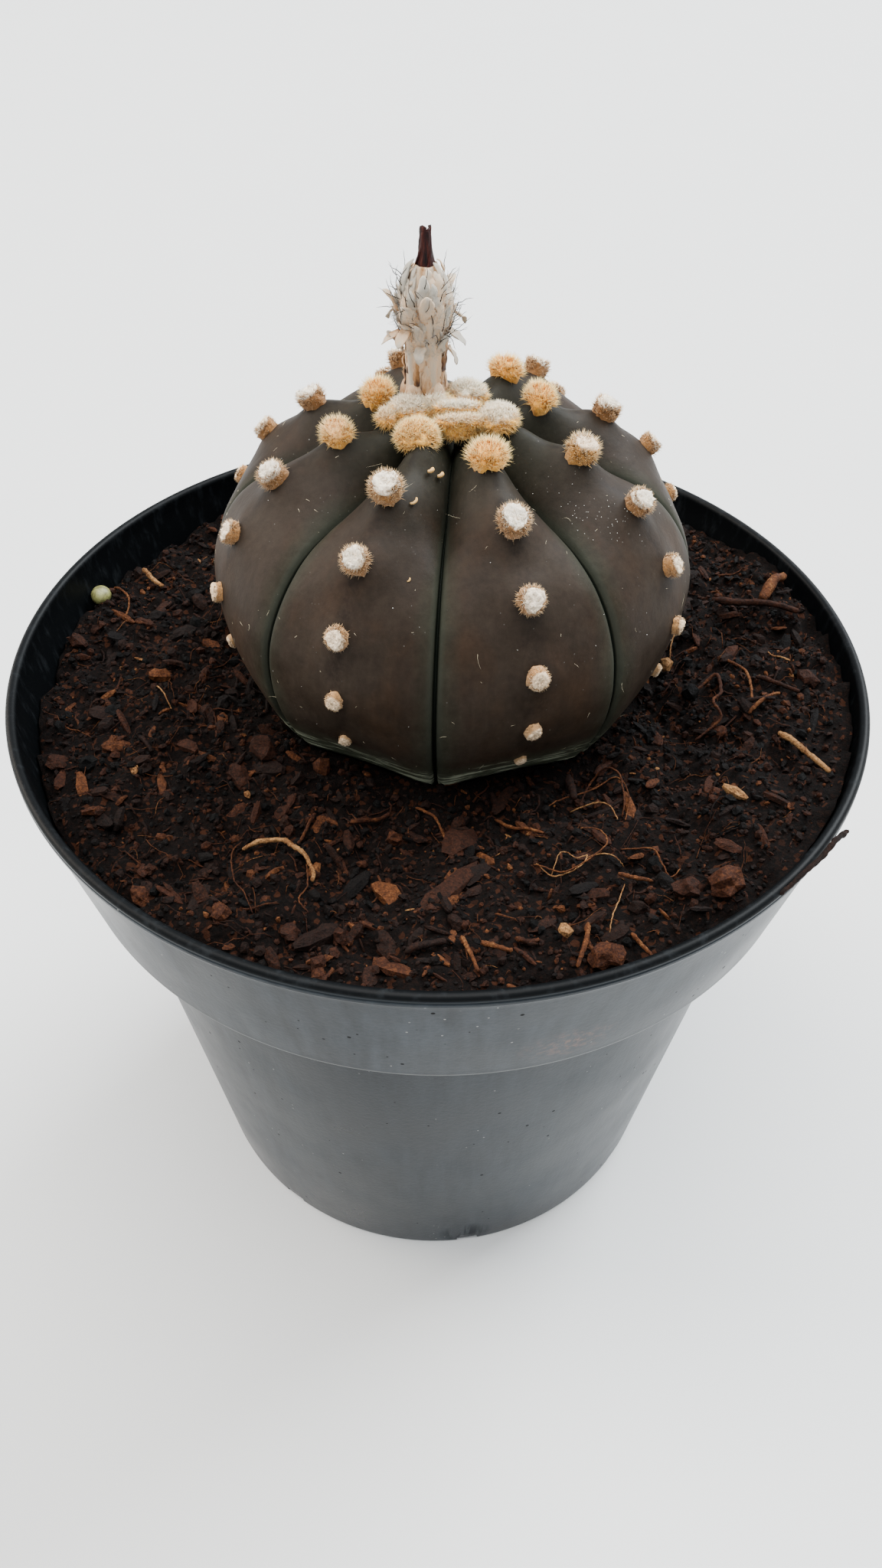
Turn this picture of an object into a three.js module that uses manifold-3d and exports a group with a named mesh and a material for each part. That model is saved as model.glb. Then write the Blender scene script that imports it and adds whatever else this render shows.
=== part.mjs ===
// Potted star cactus: an eight-ribbed stem with felt areoles, a woolly crown and a spent flower,
// standing in bark soil in a round nursery pot. Millimetres, +Z up, origin under the pot's centre.
import * as THREE from 'three';
import { mergeVertices } from 'three/addons/utils/BufferGeometryUtils.js';
import Module from 'manifold-3d';

const wasm = await Module();
wasm.setup();

// ---- Driving dimensions ----------------------------------------------------------------------
const TAU = Math.PI * 2;
const CLEARANCE = 0.3;            // gap kept between neighbouring pieces

const POT_HEIGHT = 110.5;
const RIM_RADIUS = 65;            // a 13 cm pot, measured over its rim
const LIP_HEIGHT = 2;
const LIP_THICKNESS = 1.6;
const LIP_STEP = 0.5;             // how far the lip stands out of the collar
const WALL = 1;
const COLLAR_HEIGHT = 24.6;
const COLLAR_FOOT_RADIUS = 60.4;
const LEDGE_RADIUS = 55.5;        // the body is narrower than the collar by this ledge
const BASE_RADIUS = 45.6;
const FLOOR_LIFT = 2;             // the floor stands off the ground by the height of the foot ring
const FLOOR_THICKNESS = 1.2;
const PAD_RADIUS = 14;            // centre pad that reaches down to the ground
const DRAIN_HOLES = 8;
const DRAIN_HOLE_RADIUS = 4;
const DRAIN_CIRCLE_RADIUS = 30;
const NOTCH_WIDTH = 4;            // drain notches through the foot ring
const NOTCH_HEIGHT = 1.7;
const NOTCH_TURN = 9;             // degrees
const POT_SIDES = 56;

const SOIL_CENTRE_DROP = 7.6;     // soil level below the rim, at the plant
const SOIL_EDGE_DROP = 4.5;       // mean soil level below the rim, at the wall
const SOIL_EDGE_TILT = 3;         // the soil was pressed in slightly higher on one side
const SOIL_HIGH_SIDE = -25;       // degrees
const SOIL_LUMP_SIZE = 7;
const SOIL_LUMP_HEIGHT = 1.5;
const SOIL_CRUMB_SIZE = 2.6;
const SOIL_CRUMB_HEIGHT = 0.9;
const SOIL_SIDES = 60;
const SOIL_RINGS = 11;
const CHIP_COUNT = 40;
const CHIP_INNER_RADIUS = 41;
const CHIP_OUTER_RADIUS = 57;

const STEM_X = 1.7;               // the plant stands a little off the pot's centre
const STEM_Y = 7.9;
const RIBS = 8;
// Directions in degrees of the ribs, going round from the one left of the front groove, and of the
// groove after each rib.
const RIB_ANGLES = [-115.5, -71.6, -26.5, 16.7, 59.3, 111.3, 160.1, 200.5];
const GROOVE_ANGLES = [-93.4, -50.6, -4.9, 38, 85.3, 135.7, 180.3, 225];
// Rib crest from the crown's hollow to the soil, as radius and height above the rim of the pot.
const CREST = [[0, 30.5], [10.4, 33.6], [21.4, 31], [30, 24.3], [35, 14.2], [34.5, 3.6], [29.3, -6.5]];
const ROOT = [[21, -16], [11, -25], [5, -36], [0, -42]];
const RIB_DEPTH = 5;              // at the shoulder, where the grooves are deepest
const RIB_DEPTH_CENTRE = 0.25;    // as a share of the crest's length
const RIB_DEPTH_SPREAD = 0.2;
const FOOT_FLARE = 2.2;           // near the soil the grooves stand out and the ribs go flat
const CREASE_DEPTH = 1.1;
const CREASE_WIDTH = 1.3;
const STEM_ROWS = 24;
const ROOT_ROWS = 4;
const HALF_RIB_STEPS = [0, 0.32, 0.64, 0.88];   // places between a crest and its groove

const AREOLE_FIRST = 5.6;         // distance along the crest from the crown's centre
const AREOLE_PITCH = 9.9;
const AREOLE_CLOSING = 0.06;      // the pitch shrinks towards the soil
const AREOLES_PER_RIB = 7;
const AREOLE_RADIUS = 3.3;
const AREOLE_SHRINK = 0.42;       // loss of radius from one areole to the next one out
const AREOLE_SIDES = 8;
const AREOLE_ROOT = 1.3;          // how far the felt is sunk into the skin
const CHIN_HEIGHT = 1.9;          // swelling of the rib under each young areole
const CHIN_SPREAD = 3.6;
// How far each rib's areoles sit along it, in pitches, going round from the first rib.
const STAGGER = [0.48, 0.87, 0.37, -0.24, -0.05, -0.28, -0.33, 0.17];

const FLOWER_X = -2.5;
const FLOWER_Y = 10.8;
const FLOWER_BASE = 33.4;         // height above the rim of the pot
const FLOWER_SIDES = 12;
// Woolly tube, as height above its base and radius.
const TUBE = [[0, 2.9], [3, 2.7], [6.3, 2.4], [11.4, 2.7], [15.6, 3.6], [18.2, 3], [20, 1.9]];
const SCALE_COUNT = 30;
const SCALE_LENGTH = 4.4;
const SCALE_WIDTH = 1.6;
const SCALE_THICKNESS = 0.9;
const SCALE_LEAN = 0.42;          // radians outwards, most on the scales half way up
const SCALE_LOWEST = 2.4;         // height of the first scale's foot above the tube's base
const SCALE_HIGHEST = 16.4;
const GOLDEN_TURN = 2.39996;      // from each scale to the next one up
const SCALE_REACH = 1;            // how far the lowest scales stand out of the tube
const TIP_LENGTH = 5.8;
const TIP_FOOT_RADIUS = 1.6;
const TIP_RADIUS = 0.8;
const TIP_TWIST = 110;            // degrees over its length

// ---- Solids ----------------------------------------------------------------------------------
const radians = THREE.MathUtils.degToRad;
const mix = THREE.MathUtils.lerp;

/** A closed three.js geometry as a solid that can be joined and cut. */
function solid(geometry) {
  const bare = geometry.clone();
  bare.deleteAttribute('normal');
  bare.deleteAttribute('uv');
  const merged = mergeVertices(bare, 1e-4);
  const vertProperties = new Float32Array(merged.attributes.position.array);
  const corners = merged.index.array;
  const kept = [];
  for (let i = 0; i < corners.length; i += 3) {
    const [a, b, c] = [corners[i], corners[i + 1], corners[i + 2]];
    if (a !== b && b !== c && c !== a) {
      kept.push(a, b, c);
    }
  }
  const triVerts = new Uint32Array(kept);
  return new wasm.Manifold(new wasm.Mesh({ numProp: 3, vertProperties, triVerts }));
}

/** The largest body of a solid; loose scraps left by a cut are dropped. */
function largest(body) {
  const pieces = body.decompose();
  return pieces.reduce((best, piece) => (piece.volume() > best.volume() ? piece : best));
}

/** A named mesh made from a solid. */
function node(name, body, material) {
  const cut = largest(body).getMesh();
  const geometry = new THREE.BufferGeometry();
  geometry.setAttribute('position', new THREE.BufferAttribute(cut.vertProperties, 3));
  geometry.setIndex(new THREE.BufferAttribute(cut.triVerts, 1));
  geometry.computeVertexNormals();
  const mesh = new THREE.Mesh(geometry, material);
  mesh.name = name;
  return mesh;
}

/** A solid of revolution about +Z from [radius, height] points that run from axis to axis. */
function revolve(points, sides) {
  const profile = points.map(([radius, height]) => new THREE.Vector2(radius, height));
  return new THREE.LatheGeometry(profile, sides).rotateX(Math.PI / 2);
}

/** Moves every vertex of a geometry to where the given function sends it. */
function reshape(geometry, place) {
  const position = geometry.attributes.position;
  const point = new THREE.Vector3();
  for (let i = 0; i < position.count; i += 1) {
    point.fromBufferAttribute(position, i);
    position.setXYZ(i, ...place(point));
  }
  return geometry;
}

/** Repeatable random numbers from 0 to 1. */
function seeded(seed) {
  let state = seed;
  return () => {
    state = (state * 1664525 + 1013904223) % 4294967296;
    return state / 4294967296;
  };
}

/** Smooth lumps between -1 and 1, one lump to each unit of x and y. */
function lumps(x, y) {
  const corner = (i, j) => {
    const wave = Math.sin(i * 127.1 + j * 311.7) * 43758.5453;
    return (wave - Math.floor(wave)) * 2 - 1;
  };
  const i = Math.floor(x);
  const j = Math.floor(y);
  const u = THREE.MathUtils.smoothstep(x - i, 0, 1);
  const v = THREE.MathUtils.smoothstep(y - j, 0, 1);
  const near = mix(corner(i, j), corner(i + 1, j), u);
  const far = mix(corner(i, j + 1), corner(i + 1, j + 1), u);
  return mix(near, far, v);
}

// ---- Pot -------------------------------------------------------------------------------------
const FLOOR_TOP = FLOOR_LIFT + FLOOR_THICKNESS;
const COLLAR_FOOT = POT_HEIGHT - COLLAR_HEIGHT;
const LIP_FOOT = POT_HEIGHT - LIP_HEIGHT;
const COLLAR_TOP_RADIUS = RIM_RADIUS - LIP_STEP;
const RIM_INNER_RADIUS = RIM_RADIUS - LIP_THICKNESS;
const COLLAR_INNER_FOOT_RADIUS = COLLAR_FOOT_RADIUS - WALL;
const LEDGE_INNER_RADIUS = LEDGE_RADIUS - WALL;
const FLOOR_RADIUS = BASE_RADIUS - WALL * 1.3;

/** Inner radius of the pot at a height above the floor. */
function innerRadius(height) {
  if (height > COLLAR_FOOT + WALL) {
    const share = (height - COLLAR_FOOT - WALL) / (LIP_FOOT - COLLAR_FOOT - WALL);
    return mix(COLLAR_INNER_FOOT_RADIUS, RIM_INNER_RADIUS, Math.min(share, 1));
  }
  const share = (height - FLOOR_TOP) / (COLLAR_FOOT - FLOOR_TOP);
  return mix(FLOOR_RADIUS, LEDGE_INNER_RADIUS, Math.min(share, 1));
}

/** Thin wall with lip, collar, ledge, foot ring and centre pad, then its drain holes and notches. */
function pot() {
  const round = LIP_THICKNESS * 0.3;
  const shell = solid(revolve([
    [0, 0],
    [PAD_RADIUS, 0],
    [PAD_RADIUS + FLOOR_LIFT, FLOOR_LIFT],
    [FLOOR_RADIUS - 1, FLOOR_LIFT],
    [FLOOR_RADIUS - 0.4, 0],
    [BASE_RADIUS - 0.4, 0],
    [BASE_RADIUS, 0.6],
    [LEDGE_RADIUS, COLLAR_FOOT],
    [COLLAR_FOOT_RADIUS, COLLAR_FOOT],
    [COLLAR_TOP_RADIUS, LIP_FOOT - round],
    [RIM_RADIUS, LIP_FOOT],
    [RIM_RADIUS, POT_HEIGHT - round],
    [RIM_RADIUS - round, POT_HEIGHT],
    [RIM_INNER_RADIUS + round, POT_HEIGHT],
    [RIM_INNER_RADIUS, POT_HEIGHT - round],
    [RIM_INNER_RADIUS, LIP_FOOT],
    [COLLAR_INNER_FOOT_RADIUS, COLLAR_FOOT + WALL],
    [LEDGE_INNER_RADIUS, COLLAR_FOOT],
    [FLOOR_RADIUS, FLOOR_TOP],
    [PAD_RADIUS + FLOOR_LIFT - 1, FLOOR_TOP],
    [PAD_RADIUS - 1, FLOOR_THICKNESS],
    [0, FLOOR_THICKNESS],
  ], POT_SIDES));
  let cut = shell;
  for (let i = 0; i < DRAIN_HOLES; i += 1) {
    const hole = new THREE.CylinderGeometry(DRAIN_HOLE_RADIUS, DRAIN_HOLE_RADIUS, FLOOR_TOP * 2, 12);
    hole.rotateX(Math.PI / 2);
    hole.translate(DRAIN_CIRCLE_RADIUS, 0, FLOOR_TOP);
    hole.rotateZ((i / DRAIN_HOLES) * TAU);
    const notch = new THREE.BoxGeometry(WALL * 8, NOTCH_WIDTH, NOTCH_HEIGHT * 2);
    notch.translate(BASE_RADIUS, 0, 0);
    notch.rotateZ((i / DRAIN_HOLES) * TAU + radians(NOTCH_TURN));
    cut = cut.subtract(solid(hole)).subtract(solid(notch));
  }
  return cut;
}

// ---- Stem ------------------------------------------------------------------------------------
const meridian = new THREE.SplineCurve([...CREST, ...ROOT].map(([r, z]) => new THREE.Vector2(r, z)));
meridian.arcLengthDivisions = 400;
const crest = new THREE.SplineCurve(CREST.map(([r, z]) => new THREE.Vector2(r, z)));
const CREST_SHARE = (CREST.length - 1) / (CREST.length + ROOT.length - 1);
const CREST_LENGTH = crest.getLength();
const HALF_RIB = Math.PI / RIBS;  // in even turns, before the ribs are set at their own angles
// Crests and grooves in turn, once round and back to the first crest.
const EDGE_ANGLES = [...RIB_ANGLES.flatMap((rib, i) => [rib, GROOVE_ANGLES[i]]), RIB_ANGLES[0] + 360];

/** The true direction of a place round the stem, from its even turn. */
function direction(turn) {
  const edge = Math.min(Math.floor(turn / HALF_RIB + 1e-9), EDGE_ANGLES.length - 2);
  const share = turn / HALF_RIB - edge;
  return radians(mix(EDGE_ANGLES[edge], EDGE_ANGLES[edge + 1], share));
}

/** Where areole number n of a rib sits, as a distance along the crest. */
function areoleDistance(rib, n) {
  const step = n + STAGGER[rib];
  return AREOLE_FIRST + AREOLE_PITCH * step - AREOLE_CLOSING * step * step;
}

/** Depth of the groove below the crest at a share of the crest's length. */
function grooveDepth(share) {
  const shoulder = Math.exp(-(((share - RIB_DEPTH_CENTRE) / RIB_DEPTH_SPREAD) ** 2));
  return RIB_DEPTH * shoulder - FOOT_FLARE * Math.min(share, 1) ** 3;
}

/** Swelling of a rib under its areoles, at a distance along it and a distance beside its crest. */
function chin(rib, along, beside) {
  let height = 0;
  for (let n = 0; n < AREOLES_PER_RIB - 2; n += 1) {
    const gap = Math.hypot(along - areoleDistance(rib, n), beside);
    const young = 1 - n / (AREOLES_PER_RIB - 2);
    height += CHIN_HEIGHT * young * Math.exp(-((gap / CHIN_SPREAD) ** 2));
  }
  return height;
}

/**
 * A point of the skin and its outward direction in the rib's plane: even turn from the first
 * rib's crest, and share 0 to 1 down the crest, going on past 1 into the root.
 */
function skin(turn, share, swell = 0) {
  const t = share <= 1 ? share * CREST_SHARE : mix(CREST_SHARE, 1, share - 1);
  const { x: radius, y: height } = meridian.getPoint(t);
  const slope = meridian.getTangent(t);
  const rib = Math.round(turn / (HALF_RIB * 2)) % RIBS;
  const offCrest = Math.abs(turn - Math.round(turn / (HALF_RIB * 2)) * HALF_RIB * 2);
  const across = offCrest / HALF_RIB;
  const fade = share <= 1 ? 1 : Math.max(0, 1 - (share - 1) * 3);
  const toGroove = (HALF_RIB - offCrest) * radius;
  const crease = CREASE_DEPTH * Math.exp(-((toGroove / CREASE_WIDTH) ** 2)) * Math.min(radius / 4, 1);
  const depth = (grooveDepth(share) * across ** 2 * Math.min(radius / 8, 1) + crease) * fade;
  const swelling = chin(rib, share * CREST_LENGTH, offCrest * radius) * Math.min(radius / 4, 1) * fade;
  const raised = swelling + swell - depth;
  const pole = new THREE.Vector2(0, share < 1 ? 1 : -1);
  const out = radius > 0 ? new THREE.Vector2(-slope.y, slope.x) : pole;
  const world = direction(turn);
  const reach = Math.max(radius + out.x * raised, 0);
  return {
    point: [
      STEM_X + reach * Math.cos(world),
      STEM_Y + reach * Math.sin(world),
      POT_HEIGHT + height + out.y * raised,
    ],
    normal: new THREE.Vector3(out.x * Math.cos(world), out.x * Math.sin(world), out.y),
  };
}

/** The stem and its root as one closed skin, grown by the given swell. */
function stem(swell = 0) {
  const steps = HALF_RIB_STEPS.length;
  const columns = RIBS * steps * 2;
  const rows = STEM_ROWS + ROOT_ROWS;
  const sphere = new THREE.SphereGeometry(1, columns, rows);
  const { position, uv } = sphere.attributes;
  for (let i = 0; i < position.count; i += 1) {
    const row = Math.round((1 - uv.getY(i)) * rows);
    const column = (i % (columns + 1)) % columns;
    const half = Math.floor(column / steps);
    const step = HALF_RIB_STEPS[column % steps];
    const mirrored = column % steps === 0 ? 0 : 1 - HALF_RIB_STEPS[steps - (column % steps)];
    const turn = (half + (half % 2 === 0 ? step : mirrored)) * HALF_RIB;
    const share = row <= STEM_ROWS ? row / STEM_ROWS : 1 + (row - STEM_ROWS) / ROOT_ROWS;
    position.setXYZ(i, ...skin(turn, share, swell).point);
  }
  return solid(sphere);
}

/** One areole: a felt button with a ragged edge, its foot sunk into the skin. */
function areole(rib, n, swell = 0) {
  const share = areoleDistance(rib, n) / CREST_LENGTH;
  const { point, normal } = skin(rib * HALF_RIB * 2, share);
  const radius = AREOLE_RADIUS - AREOLE_SHRINK * (n + STAGGER[rib] * 0.5) + swell;
  const height = radius * 0.95 + swell;
  const button = revolve([
    [0, -AREOLE_ROOT],
    [radius * 0.7, -AREOLE_ROOT],
    [radius, height * 0.35],
    [radius * 0.82, height * 0.9],
    [0, height],
  ], AREOLE_SIDES);
  const random = seeded(rib * 31 + n * 7 + 5);
  const ragged = Array.from({ length: AREOLE_SIDES }, () => 0.9 + random() * 0.2);
  reshape(button, ({ x, y, z }) => {
    const side = Math.round((Math.atan2(y, x) / TAU + 1) * AREOLE_SIDES) % AREOLE_SIDES;
    const pull = swell > 0 ? 1.1 : ragged[side];
    return [x * pull, y * pull, z];
  });
  button.applyQuaternion(new THREE.Quaternion().setFromUnitVectors(new THREE.Vector3(0, 0, 1), normal));
  return solid(button.translate(...point));
}

/** True where an areole is one of the crown's tufts, or would be under the soil. */
function outsideRib(rib, n) {
  const along = areoleDistance(rib, n);
  return along < 12 || along > CREST_LENGTH - 1.5;
}

/** The whole plant above its crown wool: stem, root and areoles in one body. */
function plant(swell = 0) {
  let body = stem(swell);
  for (let rib = 0; rib < RIBS; rib += 1) {
    for (let n = 0; n < AREOLES_PER_RIB; n += 1) {
      if (!outsideRib(rib, n)) {
        body = body.add(areole(rib, n, swell));
      }
    }
  }
  return body;
}

// ---- Soil ------------------------------------------------------------------------------------
/** Height of the smooth soil surface at a place in the pot. */
function soilLevel(x, y) {
  const edge = SOIL_EDGE_DROP - SOIL_EDGE_TILT * Math.cos(Math.atan2(y, x) - radians(SOIL_HIGH_SIDE));
  const outward = THREE.MathUtils.smoothstep(Math.hypot(x, y), 28, RIM_INNER_RADIUS);
  return POT_HEIGHT - mix(SOIL_CENTRE_DROP, edge, outward);
}

/** Height of the crumbly soil surface at a place in the pot. */
function soilSurface(x, y) {
  const coarse = lumps(x / SOIL_LUMP_SIZE + 9, y / SOIL_LUMP_SIZE + 4) * SOIL_LUMP_HEIGHT;
  const fine = lumps(x / SOIL_CRUMB_SIZE, y / SOIL_CRUMB_SIZE + 7) * SOIL_CRUMB_HEIGHT;
  return soilLevel(x, y) + coarse + fine;
}

/** A flat chip of bark, pressed into the soil at a slant. */
function chip(random) {
  const size = mix(4, 9, random() ** 2);
  const box = new THREE.BoxGeometry(size, size * mix(0.35, 0.7, random()), mix(2.2, 3.2, random()));
  reshape(box, ({ x, y, z }) => [x * (z > 0 ? 0.8 : 1), y * (x > 0 ? 0.7 : 1), z + x * 0.1]);
  box.rotateX((random() - 0.5) * 0.8);
  box.rotateY((random() - 0.5) * 0.7);
  box.rotateZ(random() * TAU);
  const angle = random() * TAU;
  const radius = Math.sqrt(mix(CHIP_INNER_RADIUS ** 2, CHIP_OUTER_RADIUS ** 2, random()));
  const [x, y] = [radius * Math.cos(angle), radius * Math.sin(angle)];
  return solid(box.translate(x, y, soilSurface(x, y) + 0.2));
}

/** The fill of the pot with its rough top, its chips of bark and the hole that the plant stands in. */
function soil() {
  const top = SOIL_RINGS + 1;
  const rings = Array.from({ length: top }, (_, i) => [mix(1, 0, (i / SOIL_RINGS) ** 1.25), POT_HEIGHT]);
  rings[SOIL_RINGS] = [0, POT_HEIGHT];
  const wall = [
    [0, FLOOR_THICKNESS + CLEARANCE],
    [PAD_RADIUS - 1 - CLEARANCE, FLOOR_THICKNESS + CLEARANCE],
    [PAD_RADIUS + FLOOR_LIFT - 1, FLOOR_TOP + CLEARANCE],
    [FLOOR_RADIUS - CLEARANCE, FLOOR_TOP + CLEARANCE],
    [LEDGE_INNER_RADIUS - CLEARANCE, COLLAR_FOOT + CLEARANCE],
    [COLLAR_INNER_FOOT_RADIUS - CLEARANCE, COLLAR_FOOT + WALL + CLEARANCE],
  ];
  const fill = revolve([...wall, ...rings], SOIL_SIDES);
  reshape(fill, ({ x, y, z }) => {
    if (z < POT_HEIGHT) {
      return [x, y, z];
    }
    const share = Math.hypot(x, y);
    const angle = Math.atan2(y, x);
    const edge = soilSurface(COLLAR_FOOT_RADIUS * Math.cos(angle), COLLAR_FOOT_RADIUS * Math.sin(angle));
    const reach = share * (innerRadius(edge) - CLEARANCE * 2);
    const [px, py] = [reach * Math.cos(angle), reach * Math.sin(angle)];
    return [px, py, soilSurface(px, py)];
  });
  let body = solid(fill);
  const random = seeded(12);
  for (let i = 0; i < CHIP_COUNT; i += 1) {
    body = body.add(chip(random));
  }
  return body;
}

// ---- Crown wool and flower -------------------------------------------------------------------
// Tufts of the crown: place, width across and height of each.
const TUFTS = [
  { x: -4.4, y: 7, lift: 36, width: 5.4, height: 3.6 },
  { x: -7.2, y: 5.6, lift: 35.4, width: 3, height: 2.6 },
  { x: -0.6, y: 8, lift: 34.6, width: 7, height: 6 },
  { x: 3.6, y: 11.4, lift: 36, width: 5.4, height: 4 },
  { x: 2.2, y: 4.6, lift: 35.2, width: 6.4, height: 4.4 },
  { x: 7.4, y: 4.6, lift: 36, width: 5.6, height: 3.8 },
  { x: -3.3, y: 0.6, lift: 35.4, width: 6, height: 4.4 },
];

/** A closed tuft of wool with a ragged surface. */
function tuft({ x, y, lift, width, height }) {
  const ball = new THREE.IcosahedronGeometry(1, 2);
  reshape(ball, (p) => {
    const ragged = 1 + 0.09 * Math.sin(p.x * 9 + x) * Math.sin(p.y * 8 + y) * Math.cos(p.z * 9);
    return [
      x + p.x * width * 0.6 * ragged,
      y + p.y * width * 0.55 * ragged,
      POT_HEIGHT + lift + p.z * height * 0.62 * ragged,
    ];
  });
  return solid(ball);
}

/** The spent flower's tube, grown by the given swell. */
function tubeCore(swell = 0) {
  const foot = POT_HEIGHT + FLOWER_BASE;
  const sides = TUBE.map(([height, radius]) => [radius + swell, foot + height]);
  const [last] = sides.slice(-1);
  const core = revolve([[0, foot - swell], ...sides, [0, last[1]]], FLOWER_SIDES);
  return solid(core.translate(FLOWER_X, FLOWER_Y, 0));
}

/** One papery scale of the tube: a flat pointed blade that leans out, its foot sunk into the tube. */
function scale(n) {
  const up = (n + 0.5) / SCALE_COUNT;
  const lift = mix(SCALE_LOWEST, SCALE_HIGHEST, up);
  const lower = TUBE.findLastIndex(([height]) => height <= lift);
  const [[h0, r0], [h1, r1]] = [TUBE[lower], TUBE[lower + 1]];
  const radius = mix(r0, r1, (lift - h0) / (h1 - h0));
  const width = SCALE_WIDTH * mix(0.75, 1, Math.sin(up * Math.PI));
  const blade = new THREE.ConeGeometry(width, SCALE_LENGTH, 4, 1);
  blade.rotateX(Math.PI / 2).translate(0, 0, SCALE_LENGTH / 2);
  blade.scale(SCALE_THICKNESS / SCALE_WIDTH, 1, 1);
  blade.rotateY(SCALE_LEAN * Math.sin(up * Math.PI * 0.85));
  blade.translate(radius - SCALE_THICKNESS * 0.2, 0, lift);
  blade.rotateZ(n * GOLDEN_TURN);
  return solid(blade.translate(FLOWER_X, FLOWER_Y, POT_HEIGHT + FLOWER_BASE));
}

/** Tube with its scales. */
function flowerTube() {
  let body = tubeCore();
  for (let n = 0; n < SCALE_COUNT; n += 1) {
    body = body.add(scale(n));
  }
  return body;
}

/** The dried petals, twisted together to a blunt point. */
function flowerTip() {
  const foot = POT_HEIGHT + FLOWER_BASE + TUBE[TUBE.length - 1][0] + CLEARANCE;
  const twist = revolve([
    [0, 0],
    [TIP_FOOT_RADIUS, 0],
    [TIP_RADIUS * 1.3, TIP_LENGTH * 0.25],
    [TIP_RADIUS, TIP_LENGTH * 0.55],
    [TIP_RADIUS * 0.95, TIP_LENGTH * 0.92],
    [0, TIP_LENGTH],
  ], 10);
  reshape(twist, ({ x, y, z }) => {
    const fold = 1 + 0.22 * Math.cos(Math.atan2(y, x) * 5);
    const turn = radians(TIP_TWIST) * (z / TIP_LENGTH);
    const [c, s] = [Math.cos(turn) * fold, Math.sin(turn) * fold];
    return [x * c - y * s + FLOWER_X, x * s + y * c + FLOWER_Y, z + foot];
  });
  return solid(twist);
}

// ---- Assembly --------------------------------------------------------------------------------
const finish = (color, roughness) => new THREE.MeshStandardMaterial({ color, roughness, metalness: 0 });

const clearPlant = plant(CLEARANCE);
const clearTube = tubeCore(SCALE_REACH + CLEARANCE);
const tube = flowerTube().subtract(clearPlant);
const wool = TUFTS.map(tuft).reduce((all, one) => all.add(one)).subtract(clearPlant).subtract(clearTube);

const cactus = new THREE.Group();
cactus.add(node('pot', pot(), finish(0x5f6469, 0.45)));
cactus.add(node('soil', soil().subtract(clearPlant), finish(0x2a1a14, 1)));
cactus.add(node('cactus_body', plant(), finish(0x54503f, 0.75)));
cactus.add(node('crown_wool', wool, finish(0xf0cf9f, 1)));
cactus.add(node('flower_tube', tube, finish(0xcbbfae, 0.95)));
cactus.add(node('flower_tip', flowerTip(), finish(0x4a1e18, 0.8)));

export default cactus;
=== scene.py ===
"""Dresses the potted star cactus: pot, bark soil, ribbed skin, felt areoles, crown wool and dry flower.

Shapes are worked out in millimetres with numpy and put into Blender meshes in metres.
"""

import logging
import math
from dataclasses import dataclass, field, replace
from enum import Enum
from typing import Callable, Optional, Sequence

import bpy
import numpy as np
from mathutils import Matrix, Vector


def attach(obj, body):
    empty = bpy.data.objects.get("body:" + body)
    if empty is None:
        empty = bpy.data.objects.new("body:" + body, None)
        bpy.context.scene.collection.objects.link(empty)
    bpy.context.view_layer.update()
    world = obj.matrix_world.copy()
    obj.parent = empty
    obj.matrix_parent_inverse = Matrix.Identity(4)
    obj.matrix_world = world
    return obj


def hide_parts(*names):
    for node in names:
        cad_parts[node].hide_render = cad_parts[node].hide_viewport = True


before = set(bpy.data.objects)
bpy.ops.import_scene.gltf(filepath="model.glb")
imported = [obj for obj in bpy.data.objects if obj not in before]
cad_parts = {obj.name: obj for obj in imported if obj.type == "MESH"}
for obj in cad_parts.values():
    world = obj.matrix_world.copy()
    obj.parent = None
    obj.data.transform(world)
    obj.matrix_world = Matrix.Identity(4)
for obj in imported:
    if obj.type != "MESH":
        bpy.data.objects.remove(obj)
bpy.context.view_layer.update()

LOG = logging.getLogger("cactus")
MM = 0.001
TAU = 2 * math.pi
GOLDEN_TURN = 2.39996
Array = np.ndarray
Colour = tuple[float, float, float]
Socket = bpy.types.NodeSocket
Rng = np.random.Generator


# ---- Surfaces ----
@dataclass
class Surface:
    """Points in millimetres, the four- and three-sided faces between them, and values at the points."""

    points: Array
    quads: Array
    tris: Array
    values: dict[str, Array] = field(default_factory=dict)

    def tagged(self, **values: Array | float) -> "Surface":
        """The same surface with named values, each one number or one number a point."""
        for name, value in values.items():
            self.values[name] = np.broadcast_to(np.asarray(value, float), (len(self.points),))
        return self


NO_QUADS = np.zeros((0, 4), int)
NO_TRIS = np.zeros((0, 3), int)


def joined(parts: Sequence[Surface]) -> Surface:
    """Several surfaces as one.

    Args:
        parts: surfaces that all carry the same named values.

    Returns:
        One surface whose faces keep their own points.
    """
    starts = np.cumsum([0] + [len(part.points) for part in parts[:-1]])
    return Surface(
        np.concatenate([part.points for part in parts]),
        np.concatenate([part.quads + start for part, start in zip(parts, starts)]),
        np.concatenate([part.tris + start for part, start in zip(parts, starts)]),
        {name: np.concatenate([part.values[name] for part in parts]) for name in parts[0].values},
    )


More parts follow.
